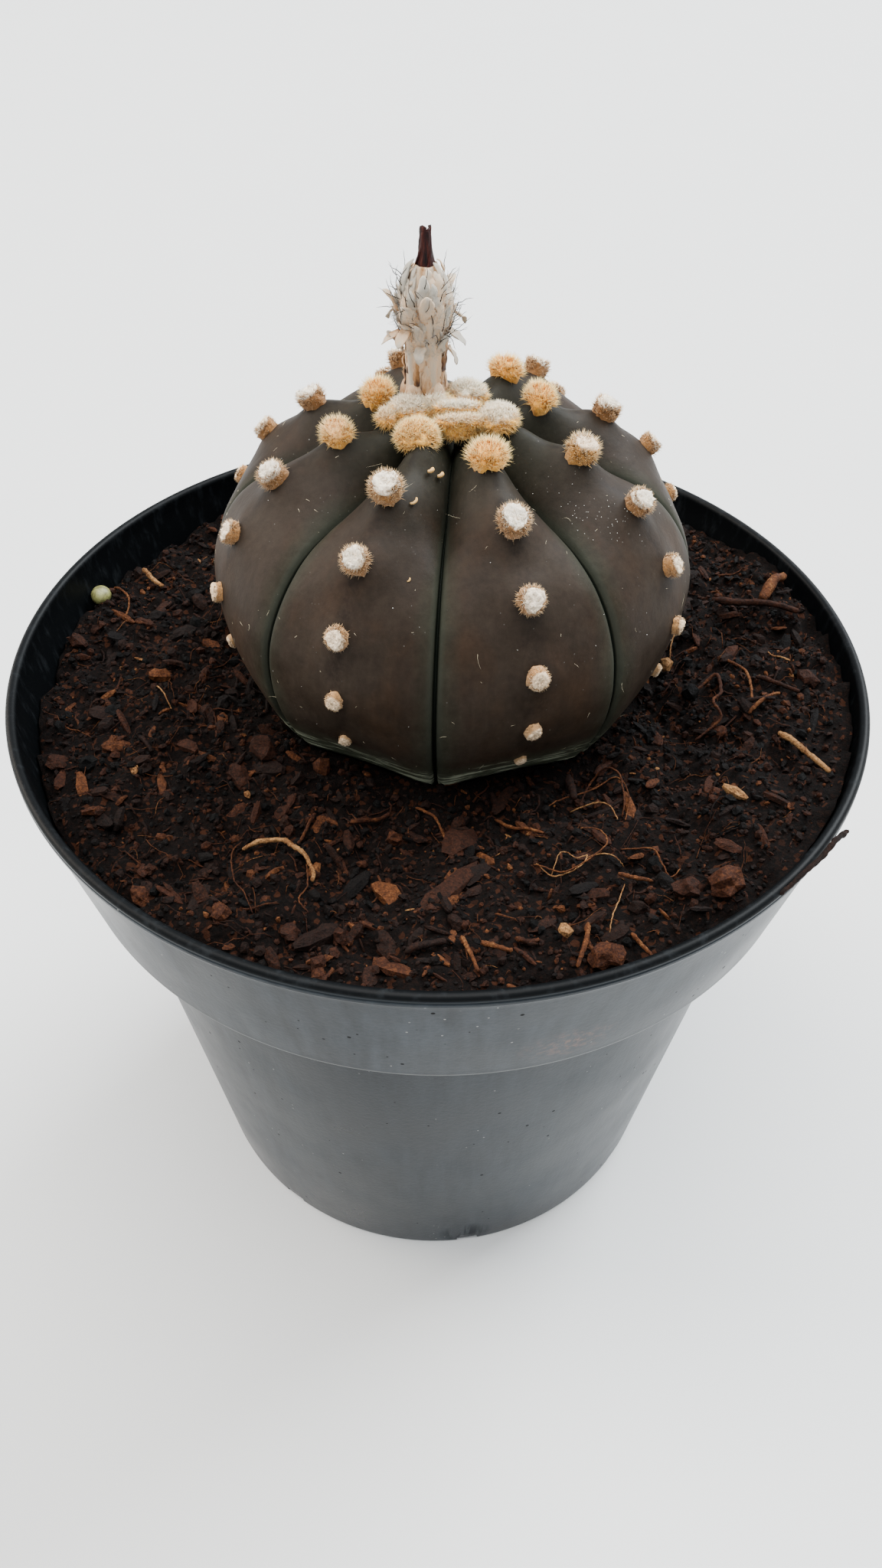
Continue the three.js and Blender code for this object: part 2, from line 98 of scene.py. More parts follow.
def lattice(rows: Array, first: Optional[Array] = None, last: Optional[Array] = None) -> Surface:
    """A surface through rings of points, closed round its columns.

    Each cell joins (row, column), (row + 1, column), (row + 1, column + 1) and (row, column + 1),
    with the last column next to the first, so faces point out where rows run down and columns run
    anticlockwise as seen from above.

    Args:
        rows: points, shaped (rows, columns, 3).
        first: a pole that closes the first ring, if any.
        last: a pole that closes the last ring, if any.

    Returns:
        The surface; its points are the rings in order, then the poles.
    """
    count, columns = rows.shape[:2]
    number = np.arange(count * columns).reshape(count, columns)
    after = np.roll(number, -1, axis=1)
    quads = np.stack([number[:-1], number[1:], after[1:], after[:-1]], -1).reshape(-1, 4)
    points = [rows.reshape(-1, 3)]
    tris = [NO_TRIS]
    total = count * columns
    if first is not None:
        points.append(np.reshape(first, (1, 3)))
        tris.append(np.stack([np.full(columns, total), number[0], after[0]], -1))
        total += 1
    if last is not None:
        points.append(np.reshape(last, (1, 3)))
        tris.append(np.stack([number[-1], np.full(columns, total), after[-1]], -1))
    return Surface(np.concatenate(points), quads, np.concatenate(tris))


def tubes(paths: Array, radii: Array, sides: int) -> Surface:
    """Many closed tubes of one make, each a round section carried along its own path.

    A ring of points stands square to the path at every path point but the last, which is the tip.
    Its two directions come from the path's tangent and the world axis that the path runs least along.

    Args:
        paths: path points, shaped (tubes, points, 3).
        radii: radius at each path point, shaped (tubes, points).
        sides: points in a ring.

    Returns:
        The tubes as one surface, with `along` 0 at the root and 1 at the tip.
    """
    count, steps = paths.shape[:2]
    tangent = np.gradient(paths, axis=1)
    tangent /= np.linalg.norm(tangent, axis=2, keepdims=True) + 1e-12
    mean = np.abs(tangent).mean(1)
    spare = np.eye(3)[mean.argmin(1)][:, None, :]
    across = np.cross(tangent, spare)
    across /= np.linalg.norm(across, axis=2, keepdims=True) + 1e-12
    over = np.cross(tangent, across)
    angle = around(sides)
    ring = across[:, :-1, None] * np.cos(angle)[:, None] + over[:, :-1, None] * np.sin(angle)[:, None]
    rings = paths[:, :-1, None] + ring * radii[:, :-1, None, None]
    each = (steps - 1) * sides + 1
    points = np.concatenate([rings.reshape(count, -1, 3), paths[:, -1:]], 1).reshape(-1, 3)
    number = np.arange((steps - 1) * sides).reshape(steps - 1, sides)
    after = np.roll(number, -1, axis=1)
    quads = np.stack([number[:-1], after[:-1], after[1:], number[1:]], -1).reshape(-1, 4)
    tip = np.stack([number[-1], after[-1], np.full(sides, each - 1)], -1)
    cap = np.stack([np.zeros(sides - 2, int), np.arange(2, sides), np.arange(1, sides - 1)], -1)
    tris = np.concatenate([tip, cap])
    starts = (np.arange(count) * each)[:, None, None]
    along = np.append(np.repeat(np.arange(steps - 1), sides), steps - 1) / (steps - 1)
    shape = Surface(points, (quads + starts).reshape(-1, 4), (tris + starts).reshape(-1, 3))
    return shape.tagged(along=np.tile(along, count))


def scattered(template: Surface, turns: Array, places: Array, **values: Array) -> Surface:
    """Copies of a small surface, each turned and stretched by its own matrix and set at its own place.

    Args:
        template: the surface to copy.
        turns: one 3 by 3 matrix a copy.
        places: one point a copy.
        values: named values, one number a copy.

    Returns:
        All the copies as one surface.
    """
    count, size = len(places), len(template.points)
    points = np.einsum("kij,nj->kni", turns, template.points) + places[:, None]
    starts = (np.arange(count) * size)[:, None, None]
    shape = Surface(
        points.reshape(-1, 3),
        (template.quads + starts).reshape(-1, 4),
        (template.tris + starts).reshape(-1, 3),
    )
    return shape.tagged(**{name: np.repeat(value, size) for name, value in values.items()})


def spline(points: Sequence[Sequence[float]], share: Array) -> tuple[Array, Array]:
    """A smooth curve through given points: a uniform Catmull-Rom spline.

    Between two points it is the cubic whose slope at each is half the chord of its neighbours.

    Args:
        points: the points, of any dimension.
        share: places along the curve from 0 to 1, any shape.

    Returns:
        The curve's points and its unit tangents, with one more axis than `share`.
    """
    knots = np.asarray(points, float)
    last = len(knots) - 1
    at = np.clip(share, 0, 1) * last
    i = np.minimum(at.astype(int), last - 1)
    t = (at - i)[..., None]
    a, b = knots[np.maximum(i - 1, 0)], knots[i]
    c, d = knots[i + 1], knots[np.minimum(i + 2, last)]
    start, end = (c - a) / 2, (d - b) / 2
    cubic, square = 2 * b - 2 * c + start + end, -3 * b + 3 * c - 2 * start - end
    place = ((cubic * t + square) * t + start) * t + b
    slope = (3 * cubic * t + 2 * square) * t + start
    return place, slope / (np.linalg.norm(slope, axis=-1, keepdims=True) + 1e-12)


def smooth(value: Array, low: float, high: float) -> Array:
    """0 below low, 1 above high, and an S-shaped ramp between."""
    t = np.clip((value - low) / (high - low), 0, 1)
    return t * t * (3 - 2 * t)


def lumps(x: Array, y: Array) -> Array:
    """Smooth lumps between -1 and 1, one to each unit: random values at whole numbers, eased between."""

    def corner(i: Array, j: Array) -> Array:
        """A repeatable random value for a whole-numbered place."""
        wave = np.sin(i * 127.1 + j * 311.7) * 43758.5453
        return (wave - np.floor(wave)) * 2 - 1

    i, j = np.floor(x), np.floor(y)
    u, v = smooth(x - i, 0, 1), smooth(y - j, 0, 1)
    near = corner(i, j) * (1 - u) + corner(i + 1, j) * u
    far = corner(i, j + 1) * (1 - u) + corner(i + 1, j + 1) * u
    return near * (1 - v) + far * v


def ripple(points: Array, size: float, seed: float = 0) -> Array:
    """A cheap wavy value between about -1 and 1 in space: three crossed sines of the given size."""
    p = points * (TAU / size)
    return (
        np.sin(p[..., 0] + 1.7 * np.sin(p[..., 1] * 0.7 + seed))
        + np.sin(p[..., 1] * 1.1 + 1.3 * np.sin(p[..., 2] * 0.8 + seed * 2))
        + np.sin(p[..., 2] * 0.9 + 1.5 * np.sin(p[..., 0] * 0.6 + seed * 3))
    ) / 3


def unit(vectors: Array) -> Array:
    """Vectors brought to length 1."""
    return vectors / (np.linalg.norm(vectors, axis=-1, keepdims=True) + 1e-12)


def around(count: int) -> Array:
    """Even turns round a circle, from 0 up."""
    return np.arange(count) / count * TAU


def carried_round(radius: Array, height: Array, turn: Array) -> Array:
    """Points at a radius, a turn and a height: x = r cos a, y = r sin a, z = height."""
    return np.stack([radius * np.cos(turn), radius * np.sin(turn), height + 0 * turn], -1)


def level(heading: Array) -> Array:
    """Level vectors of length 1 at the given headings."""
    return carried_round(1, 0, heading)


def sphere_rings(rows: int, sides: int) -> Array:
    """Rings of the unit sphere between its poles: radius sin a and height cos a."""
    a = np.linspace(0, math.pi, rows + 2)[1:-1, None]
    return carried_round(np.sin(a), np.cos(a), around(sides)[None])


def spun(heading: float) -> Array:
    """The matrix that turns points written as rows about Z: points @ matrix."""
    c, s = math.cos(heading), math.sin(heading)
    return np.array([[c, s, 0], [-s, c, 0], [0, 0, 1]])


def random_turns(rng: Rng, count: int, tilt: float) -> Array:
    """Random rotation matrices: any heading about +Z, after a tilt of up to the given angle.

    Args:
        rng: source of the random draws.
        count: how many matrices.
        tilt: largest tilt about X and about Y, in radians.

    Returns:
        Matrices shaped (count, 3, 3): heading times tilt about Y times tilt about X.
    """
    a, b = rng.uniform(-tilt, tilt, (2, count))
    c = rng.uniform(0, TAU, count)
    zero, one = np.zeros(count), np.ones(count)

    def matrix(*cells: Array) -> Array:
        """Nine cells as one matrix a copy."""
        return np.stack(cells, -1).reshape(count, 3, 3)

    about_x = matrix(one, zero, zero, zero, np.cos(a), -np.sin(a), zero, np.sin(a), np.cos(a))
    about_y = matrix(np.cos(b), zero, np.sin(b), zero, one, zero, -np.sin(b), zero, np.cos(b))
    about_z = matrix(np.cos(c), -np.sin(c), zero, np.sin(c), np.cos(c), zero, zero, zero, one)
    return about_z @ about_y @ about_x


def facing(normals: Array) -> Array:
    """Matrices that turn +Z to the given unit normals, with X kept level."""
    across = np.stack([-normals[:, 1], normals[:, 0], np.zeros(len(normals))], -1)
    across[np.linalg.norm(across, axis=1) < 1e-6] = (1, 0, 0)
    across = unit(across)
    return np.stack([across, np.cross(normals, across), normals], -1)


# ---- Materials ----
class Shader:
    """Short ways to add a material's nodes and join them."""

    def __init__(self, name: str) -> None:
        """Starts an empty material with that name."""
        self.material = bpy.data.materials.new(name)
        self.material.use_nodes = True
        self.tree = self.material.node_tree
        self.tree.nodes.clear()
        self.place = self.node("ShaderNodeTexCoord").outputs["Object"]

    def node(
        self, kind: str, inputs: Optional[dict[object, object]] = None, **settings: object
    ) -> bpy.types.Node:
        """Adds a node.

        Args:
            kind: its type.
            inputs: what its inputs get, by name or number: a socket, a number or a colour.
            settings: its own properties.

        Returns:
            The new node.
        """
        made = self.tree.nodes.new(kind)
        for name, value in settings.items():
            setattr(made, name, value)
        for name, value in (inputs or {}).items():
            self.feed(made.inputs[name], value)
        return made

    def feed(self, socket: Socket, value: object) -> None:
        """Joins a socket to another one, or sets its number or colour."""
        if isinstance(value, Socket):
            self.tree.links.new(value, socket)
        elif socket.type == "RGBA":
            socket.default_value = (*value, 1)
        else:
            socket.default_value = value

    def stretched(self, x: float, y: float, z: float) -> Socket:
        """Object coordinates with each axis multiplied."""
        mapping = self.node("ShaderNodeMapping", {"Vector": self.place, "Scale": (x, y, z)})
        return mapping.outputs["Vector"]

    def noise(
        self, size: float, detail: float = 3, rough: float = 0.55, vector: Optional[Socket] = None
    ) -> Socket:
        """Cloudy noise whose features are about `size` millimetres across."""
        inputs = {"Scale": 1 / (size * MM), "Detail": detail, "Roughness": rough}
        inputs["Vector"] = vector or self.place
        return self.node("ShaderNodeTexNoise", inputs).outputs["Fac"]

    def cells(self, size: float, output: str = "Distance", vector: Optional[Socket] = None) -> Socket:
        """Voronoi cells about `size` millimetres across."""
        inputs = {"Vector": vector or self.place, "Scale": 1 / (size * MM)}
        return self.node("ShaderNodeTexVoronoi", inputs).outputs[output]

    def spots(self, size: float, reach: float, share: float, patch: float) -> Socket:
        """Round spots one to a cell, kept only where a larger cloud is thick.

        Args:
            size: width of a cell in millimetres.
            reach: radius of a spot as a share of its cell.
            share: 0 to 1, how much of the surface carries spots.
            patch: size of the clouds in millimetres.

        Returns:
            1 inside a spot, 0 outside.
        """
        dot = self.band(self.cells(size), reach * 1.35, reach)
        cloud = self.band(self.noise(patch, 3, 0.6), 0.72 - 0.4 * share, 0.76 - 0.4 * share)
        return self.times(dot, cloud)

    def near(self, x: float, y: float, z: float, reach: float, wide: float = 1) -> Socket:
        """1 at a place in millimetres, fading to 0 at `reach`, with the x and y reach `wide` times."""
        away = self.place
        steps = {"SUBTRACT": (x * MM, y * MM, z * MM), "MULTIPLY": (1 / wide, 1 / wide, 1)}
        for operation, by in steps.items():
            away = self.node("ShaderNodeVectorMath", {0: away, 1: by}, operation=operation).outputs["Vector"]
        length = self.node("ShaderNodeVectorMath", {0: away}, operation="LENGTH")
        return self.band(length.outputs["Value"], reach * MM, 0)

    def value(self, name: str) -> Socket:
        """A named value of the mesh."""
        return self.node("ShaderNodeAttribute", attribute_name=name).outputs["Fac"]

    def band(self, value: Socket, low: float, high: float) -> Socket:
        """0 at low, 1 at high and a straight ramp between, whichever of the two is larger."""
        made = self.node("ShaderNodeMapRange", {"Value": value, "From Min": low, "From Max": high})
        return made.outputs["Result"]

    def ramp(self, factor: Socket, stops: Sequence[tuple[float, Colour]]) -> Socket:
        """Colours along a factor."""
        made = self.node("ShaderNodeValToRGB", {"Fac": factor})
        band = made.color_ramp.elements
        while len(band) < len(stops):
            band.new(0.5)
        for element, (position, colour) in zip(band, stops):
            element.position = position
            element.color = (*colour, 1)
        return made.outputs["Color"]

    def mix(self, factor: object, low: object, high: object, blend: str = "MIX") -> Socket:
        """Two colours mixed by a factor."""
        inputs = {0: factor, 6: low, 7: high}
        return self.node("ShaderNodeMix", inputs, data_type="RGBA", blend_type=blend).outputs[2]

    def lit(self, colour: object, shade: Socket, low: float, high: float) -> Socket:
        """A colour made darker or lighter: times low where the shade is 0.3, times high where it is 0.7."""
        inputs = {"Value": shade, "From Min": 0.3, "From Max": 0.7, "To Min": low, "To Max": high}
        return self.mix(1.0, colour, self.node("ShaderNodeMapRange", inputs).outputs["Result"], "MULTIPLY")

    def maths(self, operation: str, first: object, second: object) -> Socket:
        """A sum, product or other operation on two numbers."""
        return self.node("ShaderNodeMath", {0: first, 1: second}, operation=operation).outputs[0]

    def times(self, first: object, second: object) -> Socket:
        """The product of two numbers."""
        return self.maths("MULTIPLY", first, second)

    def most(self, first: object, second: object) -> Socket:
        """The larger of two numbers."""
        return self.maths("MAXIMUM", first, second)

    def shifted(self, value: object, shade: Socket, amount: float) -> Socket:
        """A value with noise added: up or down by half the amount."""
        return self.maths("ADD", value, self.times(self.maths("SUBTRACT", shade, 0.5), amount))

    def bump(self, height: Socket, depth: float, under: Optional[Socket] = None) -> Socket:
        """Fine relief `depth` millimetres high, laid over another relief if given."""
        inputs = {"Distance": depth * MM, "Height": height} | ({"Normal": under} if under else {})
        return self.node("ShaderNodeBump", inputs).outputs["Normal"]

    def done(
        self, colour: object, roughness: object, normal: Optional[Socket] = None, shine: float = 0.5,
        **sockets: object,
    ) -> bpy.types.Material:
        """Ends the material in a Principled shader.

        Args:
            colour: base colour, a socket or three numbers.
            roughness: a socket or a number.
            normal: relief, if any.
            shine: specular level.
            sockets: other inputs of the shader, their names with _ for each space.

        Returns:
            The finished material.
        """
        inputs = {"Base Color": colour, "Roughness": roughness, "Specular IOR Level": shine}
        inputs |= {name.replace("_", " "): value for name, value in sockets.items()}
        inputs |= {"Normal": normal} if normal else {}
        shader = self.node("ShaderNodeBsdfPrincipled", inputs)
        self.node("ShaderNodeOutputMaterial", {"Surface": shader.outputs["BSDF"]})
        return self.material


@dataclass(frozen=True)
class DustyPlastic:
    """The pot's outside: thin black plastic under dust, with streaks, specks and scratches."""

    film: Colour = (0.0052, 0.0066, 0.0083)
    thick_film: Colour = (0.0300, 0.0355, 0.0415)
    # pale specks, and also the painted highlight along the collar's foot
    speck: Colour = (0.2, 0.2, 0.1867)
    dirt: Colour = (0.00533, 0.00467, 0.004)
    smear: Colour = (0.13, 0.062, 0.042)

    def make(self) -> bpy.types.Material:
        """Builds the material; `dust` is how dusty the wall is and `edge` a painted highlight on the
        collar's foot.
        """
        on = Shader("dusty_plastic")
        dust, edge = on.value("dust"), on.value("edge")
        streaks = on.noise(2.6, 4, 0.6, on.stretched(1, 1, 0.07))
        clouds = on.noise(24, 5, 0.6)
        cover = on.times(on.band(clouds, 0.3, 0.68), on.band(streaks, 0.2, 0.65))
        colour = on.mix(on.times(cover, dust), self.film, self.thick_film)
        colour = on.lit(colour, on.noise(1.6, 4, 0.7), 0.84, 1.14)
        scratch = on.band(on.cells(9, vector=on.stretched(0.35, 0.35, 2.6)), 0.028, 0.0)
        scratch = on.times(scratch, on.band(on.noise(17), 0.5, 0.62))
        marks = on.most(on.times(scratch, 0.5), on.spots(2.3, 0.055, 0.5, 12))
        # scratches and specks, and the collar's foot edge painted pale as a painted highlight
        colour = on.mix(on.most(marks, edge), colour, self.speck)
        dirt = on.most(on.spots(4.6, 0.05, 0.62, 20), on.spots(2.9, 0.045, 0.45, 15))
        stain = on.times(on.near(7, -48, 4, 6), on.band(streaks, 0.42, 0.55))
        dirt = on.most(dirt, stain)
        colour = on.mix(dirt, colour, self.dirt)
        smear = on.times(on.near(18.5, -59.5, 92, 5, 1.6), on.band(on.noise(1.1, 4, 0.7), 0.48, 0.62))
        colour = on.mix(on.times(smear, 0.8), colour, self.smear)
        roughness = on.mix(dirt, on.lit((0.33, 0.33, 0.33), clouds, 0.8, 1.3), (1.0, 1.0, 1.0))
        relief = on.bump(streaks, 0.04, on.bump(on.noise(0.7, 2), 0.02))
        tint = (0.72, 0.88, 1.0)
        sheen = {"Sheen_Weight": 0.045, "Sheen_Roughness": 0.35}
        return on.done(colour, roughness, relief, 0.1, Specular_Tint=tint, **sheen)


@dataclass(frozen=True)
class CleanPlastic:
    """The pot's lip and inside: the same black plastic rubbed clean, with faint scuffs."""

    black: Colour = (0.00147, 0.00187, 0.00227)
    scuff: Colour = (0.00733, 0.00867, 0.01)

    def make(self) -> bpy.types.Material:
        """Builds the material."""
        on = Shader("clean_plastic")
        scuffs = on.band(on.noise(1.8, 5, 0.7, on.stretched(1, 1, 0.3)), 0.52, 0.75)
        colour = on.mix(scuffs, self.black, self.scuff)
        relief = on.bump(on.noise(0.7, 3), 0.02)
        return on.done(colour, on.lit((0.5, 0.5, 0.5), scuffs, 0.9, 1.2), relief, shine=0.07)


@dataclass(frozen=True)
class Peat:
    """Moist dark peat with fine crumbs of red-brown bark."""

    wet: Colour = (0.0004, 0.00033, 0.00033)
    damp: Colour = (0.00227, 0.0012, 0.00093)
    dry: Colour = (0.00867, 0.00347, 0.00213)
    fleck: Colour = (0.0253, 0.00833, 0.00367)

    def make(self) -> bpy.types.Material:
        """Builds the material."""
        on = Shader("soil_peat")
        grain = on.noise(0.9, 6, 0.72)
        colour = on.ramp(on.noise(0.6, 5, 0.75), [(0.32, self.wet), (0.5, self.damp), (0.7, self.dry)])
        colour = on.mix(on.band(on.cells(0.7, "Color"), 0.76, 0.84), colour, self.fleck)
        return on.done(colour, 0.85, on.bump(grain, 0.8), shine=0.07)


@dataclass(frozen=True)
class Litter:
    """Crumbs, chips and fibres: each has its own tone, from black peat over rusty bark to tan root."""

    peat: Colour = (0.00053, 0.0004, 0.0004)
    humus: Colour = (0.0025, 0.0012, 0.0009)
    bark: Colour = (0.0088, 0.0032, 0.0018)
    rust: Colour = (0.027, 0.0082, 0.0035)
    orange: Colour = (0.078, 0.026, 0.008)
    tan: Colour = (0.2133, 0.11, 0.0433)

    def make(self) -> bpy.types.Material:
        """Builds the material; `tone` runs from 0 for peat to 1 for tan."""
        on = Shader("litter")
        grain = on.noise(0.35, 5, 0.75)
        tone = on.shifted(on.value("tone"), on.noise(0.7, 5, 0.75), 0.42)
        steps = (self.peat, self.humus, self.bark, self.rust, self.orange, self.tan)
        colour = on.ramp(tone, list(zip((0.08, 0.3, 0.5, 0.67, 0.82, 0.97), steps)))
        colour = on.lit(colour, grain, 0.4, 1.55)
        relief = on.bump(grain, 0.26)
        relief = on.bump(on.noise(0.9, 4, 0.7), 0.35, relief)
        return on.done(colour, 0.72, relief, shine=0.1)


@dataclass(frozen=True)
class WaxySkin:
    """Matte waxy skin: bronze brown over the ribs, dark green by the grooves and at the foot, with painted
    light towards the foot, painted shade in the groove lines and a painted highlight beside them.
    """

    bronze: Colour = (0.0142, 0.0096, 0.0065)
    pale_bronze: Colour = (0.0220, 0.0158, 0.0113)
    warm: Colour = (0.029, 0.0152, 0.0082)
    green: Colour = (0.011, 0.013, 0.00767)
    pale_green: Colour = (0.0193, 0.0227, 0.0153)
    # olive foot of the stem, set lighter than its own colour as painted light against the shade by the soil
    foot: Colour = (0.029, 0.032, 0.020)
    crust: Colour = (0.21, 0.22, 0.155)
    # near-black painted shade in the groove's crease
    groove: Colour = (0.0028, 0.0042, 0.0026)
    # painted highlight on the shoulder beside each groove
    shoulder: Colour = (0.028, 0.032, 0.024)
    smudge: Colour = (0.00667, 0.00433, 0.00367)
    dust: Colour = (0.0867, 0.08, 0.07)

    def make(self) -> bpy.types.Material:
        """Builds the material; `groove` is 1 in a groove and 0 on a crest, `foot` is 1 at the soil."""
        on = Shader("cactus_skin")
        groove, foot = on.value("groove"), on.value("foot")
        blotch = on.noise(12, 5, 0.6)
        fine = on.noise(0.9, 5, 0.7)
        brushed = on.noise(1.2, 4, 0.65, on.stretched(1, 1, 0.22))
        bronze = on.mix(on.band(blotch, 0.36, 0.64), self.bronze, self.pale_bronze)
        flush = on.times(on.band(on.noise(9, 4, 0.6, on.stretched(1, 1, 0.5)), 0.5, 0.7), 0.45)
        bronze = on.mix(flush, bronze, self.warm)
        leaf = on.mix(on.band(blotch, 0.35, 0.65), self.green, self.pale_green)
        by_crown = on.band(on.shifted(foot, blotch, 0.25), 0.36, 0.08)
        greener = on.most(on.band(on.shifted(groove, blotch, 0.3), 0.72, 1.05), by_crown)
        colour = on.mix(on.times(greener, 0.8), bronze, leaf)
        smudge = on.times(on.band(on.shifted(groove, on.noise(3, 5, 0.7), 0.3), 0.16, 0.02), 0.5)
        smudge = on.times(smudge, on.band(on.noise(2.2, 5, 0.75), 0.42, 0.6))
        colour = on.mix(smudge, colour, self.smudge)
        # the olive foot band, lightened as painted light
        colour = on.mix(on.band(on.shifted(foot, blotch, 0.12), 0.88, 0.97), colour, self.foot)
        lines = on.band(on.noise(0.8, 3, 0.6, on.stretched(0.12, 0.12, 1.3)), 0.51, 0.6)
        lines = on.times(lines, on.band(on.shifted(foot, on.noise(6, 4), 0.1), 0.91, 0.95))
        colour = on.mix(on.times(lines, 0.8), colour, self.crust)
        colour = on.lit(colour, fine, 0.86, 1.14)
        # random brushed streaks, then painted light: upper ribs darker and lower stem lighter
        colour = on.lit(on.lit(colour, brushed, 0.88, 1.12), foot, 0.86, 1.4)
        # more painted light towards the foot, against the shade there
        colour = on.lit(colour, on.band(foot, 0.45, 1.2), 1.0, 1.7)
        bloom = on.times(on.band(on.noise(0.5, 4, 0.8), 0.58, 0.75), on.band(on.noise(8, 4), 0.45, 0.7))
        colour = on.mix(on.times(bloom, 0.22), colour, self.dust)
        motes = on.most(on.spots(1.5, 0.05, 0.5, 9), on.spots(0.9, 0.06, 0.45, 6))
        colour = on.mix(on.times(motes, 0.8), colour, self.dust)
        # painted highlight: a paler band on the shoulder beside each groove
        shoulder = on.times(on.band(groove, 0.90, 0.965), on.band(groove, 0.985, 0.97))
        colour = on.mix(on.times(shoulder, 0.5), colour, self.shoulder)
        # painted shade: a near-black line along the groove's crease
        colour = on.mix(on.band(groove, 0.972, 0.982), colour, self.groove)
        relief = on.bump(fine, 0.035)
        relief = on.bump(on.noise(3.5, 4), 0.1, relief)
        relief = on.bump(lines, 0.2, relief)
        roughness = on.lit((0.55, 0.55, 0.55), blotch, 0.9, 1.15)
        return on.done(colour, roughness, relief, shine=0.075)


@dataclass(frozen=True)
class Wool:
    """Areole wool: cream and matted on top, golden while young, brown at the roots of the side hairs, partly
    its own colour and partly painted shade among the hairs.
    """

    name: str = "areole_wool"
    cream: Colour = (0.88, 0.79, 0.65)
    parched: Colour = (0.84, 0.62, 0.40)
    brown: Colour = (0.11, 0.04, 0.012)
    tan: Colour = (0.38, 0.185, 0.065)
    pale: Colour = (0.78, 0.54, 0.30)
    ember: Colour = (0.68, 0.25, 0.035)
    gold: Colour = (1.0, 0.53, 0.09)
    straw: Colour = (1.0, 0.77, 0.36)

    def make(self) -> bpy.types.Material:
        """Builds it from `side` 0 on top to 1 beside, `young`, `down` the rib and `along` a hair."""
        on = Shader(self.name)
        side, young, along = on.value("side"), on.value("young"), on.value("along")
        grain = on.noise(0.4, 4, 0.7)
        # darker towards each hair's root: partly the wool's own colour, partly painted shade deep among the
        # hairs
        old = on.ramp(along, [(0.0, self.brown), (0.35, self.tan), (0.85, self.pale)])
        new = on.ramp(along, [(0.0, self.ember), (0.3, self.gold), (0.85, self.straw)])
        top = on.mix(on.band(on.value("down"), 0, 0.5), self.cream, self.parched)
        mottle = on.times(on.band(on.noise(1.1, 5, 0.7), 0.5, 0.66), 0.5)
        above = on.mix(young, on.mix(mottle, top, self.parched), new)
        ragged = on.shifted(on.shifted(side, grain, 0.6), on.noise(0.9, 3, 0.6), 0.9)
        colour = on.mix(on.band(ragged, 0.3, 0.7), above, on.mix(young, old, new))
        colour = on.lit(colour, grain, 0.72, 1.12)
        relief = on.bump(on.noise(0.3, 4, 0.7), 0.16)
        return on.done(colour, 0.95, relief, 0.1, Sheen_Weight=0.3, Sheen_Tint=(1.0, 0.88, 0.7))


@dataclass(frozen=True)
class DryScale:
    """Papery woolly scales: brown as painted shade in the folds and between the scales, tan down the tube
    and grey-white above.
    """

    # darkest brown: painted shade in the folds and between the scales
    fold: Colour = (0.058, 0.025, 0.013)
    rusty: Colour = (0.33, 0.17, 0.068)
    tan: Colour = (0.55, 0.39, 0.25)
    straw: Colour = (0.45, 0.375, 0.29)
    white: Colour = (0.35, 0.325, 0.275)

    def make(self) -> bpy.types.Material:
        """Builds the material; `tone` runs from 0 for the painted shade in the folds to 1 for the palest
        wool.
        """
        on = Shader("dry_scale")
        wisp = on.noise(0.7, 5, 0.7, on.stretched(1, 1, 0.35))
        steps = (self.fold, self.rusty, self.tan, self.straw, self.white)
        shade = on.shifted(on.value("tone"), wisp, 0.7)
        colour = on.ramp(shade, list(zip((0.05, 0.25, 0.45, 0.65, 0.85), steps)))
        return on.done(colour, 0.85, on.bump(wisp, 0.18), shine=0.15, Sheen_Weight=0.15)


@dataclass(frozen=True)
class Bristle:
    """Fine dark bristles, brown at the root and grey towards the tip."""

    root: Colour = (0.0147, 0.008, 0.006)
    tip: Colour = (0.0233, 0.0233, 0.0267)

    def make(self) -> bpy.types.Material:
        """Builds the material."""
        on = Shader("bristle")
        colour = on.lit(on.mix(on.value("along"), self.root, self.tip), on.noise(0.5), 0.6, 1.3)
        return on.done(colour, 0.55, shine=0.3)


@dataclass(frozen=True)
class DryPetal:
    """Dried petals: near-black and maroon with tan streaks, paler at the foot."""

    black: Colour = (0.00333, 0.00133, 0.00133)
    maroon: Colour = (0.024, 0.0036, 0.0028)
    rust: Colour = (0.06, 0.012, 0.006)
    tan: Colour = (0.3, 0.1933, 0.12)

    def make(self) -> bpy.types.Material:
        """Builds the material; `foot` is 1 at the petals' foot."""
        on = Shader("dry_petal")
        streak = on.noise(0.45, 4, 0.65, on.stretched(1, 1, 0.13))
        colour = on.ramp(streak, [(0.36, self.black), (0.52, self.maroon), (0.72, self.rust)])
        colour = on.mix(on.band(on.shifted(on.value("foot"), streak, 0.8), 0.6, 0.95), colour, self.tan)
        return on.done(colour, 0.6, on.bump(streak, 0.2), shine=0.15)


@dataclass(frozen=True)
class Speck:
    """Small loose grains and threads, each as pale as its tone: straw brown to white."""

    dull: Colour = (0.52, 0.31, 0.11)
    bright: Colour = (0.82, 0.72, 0.50)
    white: Colour = (0.80, 0.80, 0.76)

    def make(self) -> bpy.types.Material:
        """Builds the material."""
        on = Shader("speck")
        colour = on.ramp(on.value("tone"), [(0.2, self.dull), (0.6, self.bright), (1.0, self.white)])
        return on.done(on.lit(colour, on.noise(0.3, 3), 0.8, 1.1), 0.7, shine=0.2)


@dataclass(frozen=True)
class SeedCoat:
    """Pale yellow-green skin of a swollen seed, browner in patches."""

    light: Colour = (0.20, 0.20, 0.07)
    dark: Colour = (0.09, 0.085, 0.025)

    def make(self) -> bpy.types.Material:
        """Builds the material."""
        on = Shader("seed_coat")
        patch = on.noise(1.2, 4, 0.65)
        return on.done(on.mix(on.band(patch, 0.4, 0.6), self.light, self.dark), 0.5, on.bump(patch, 0.1))


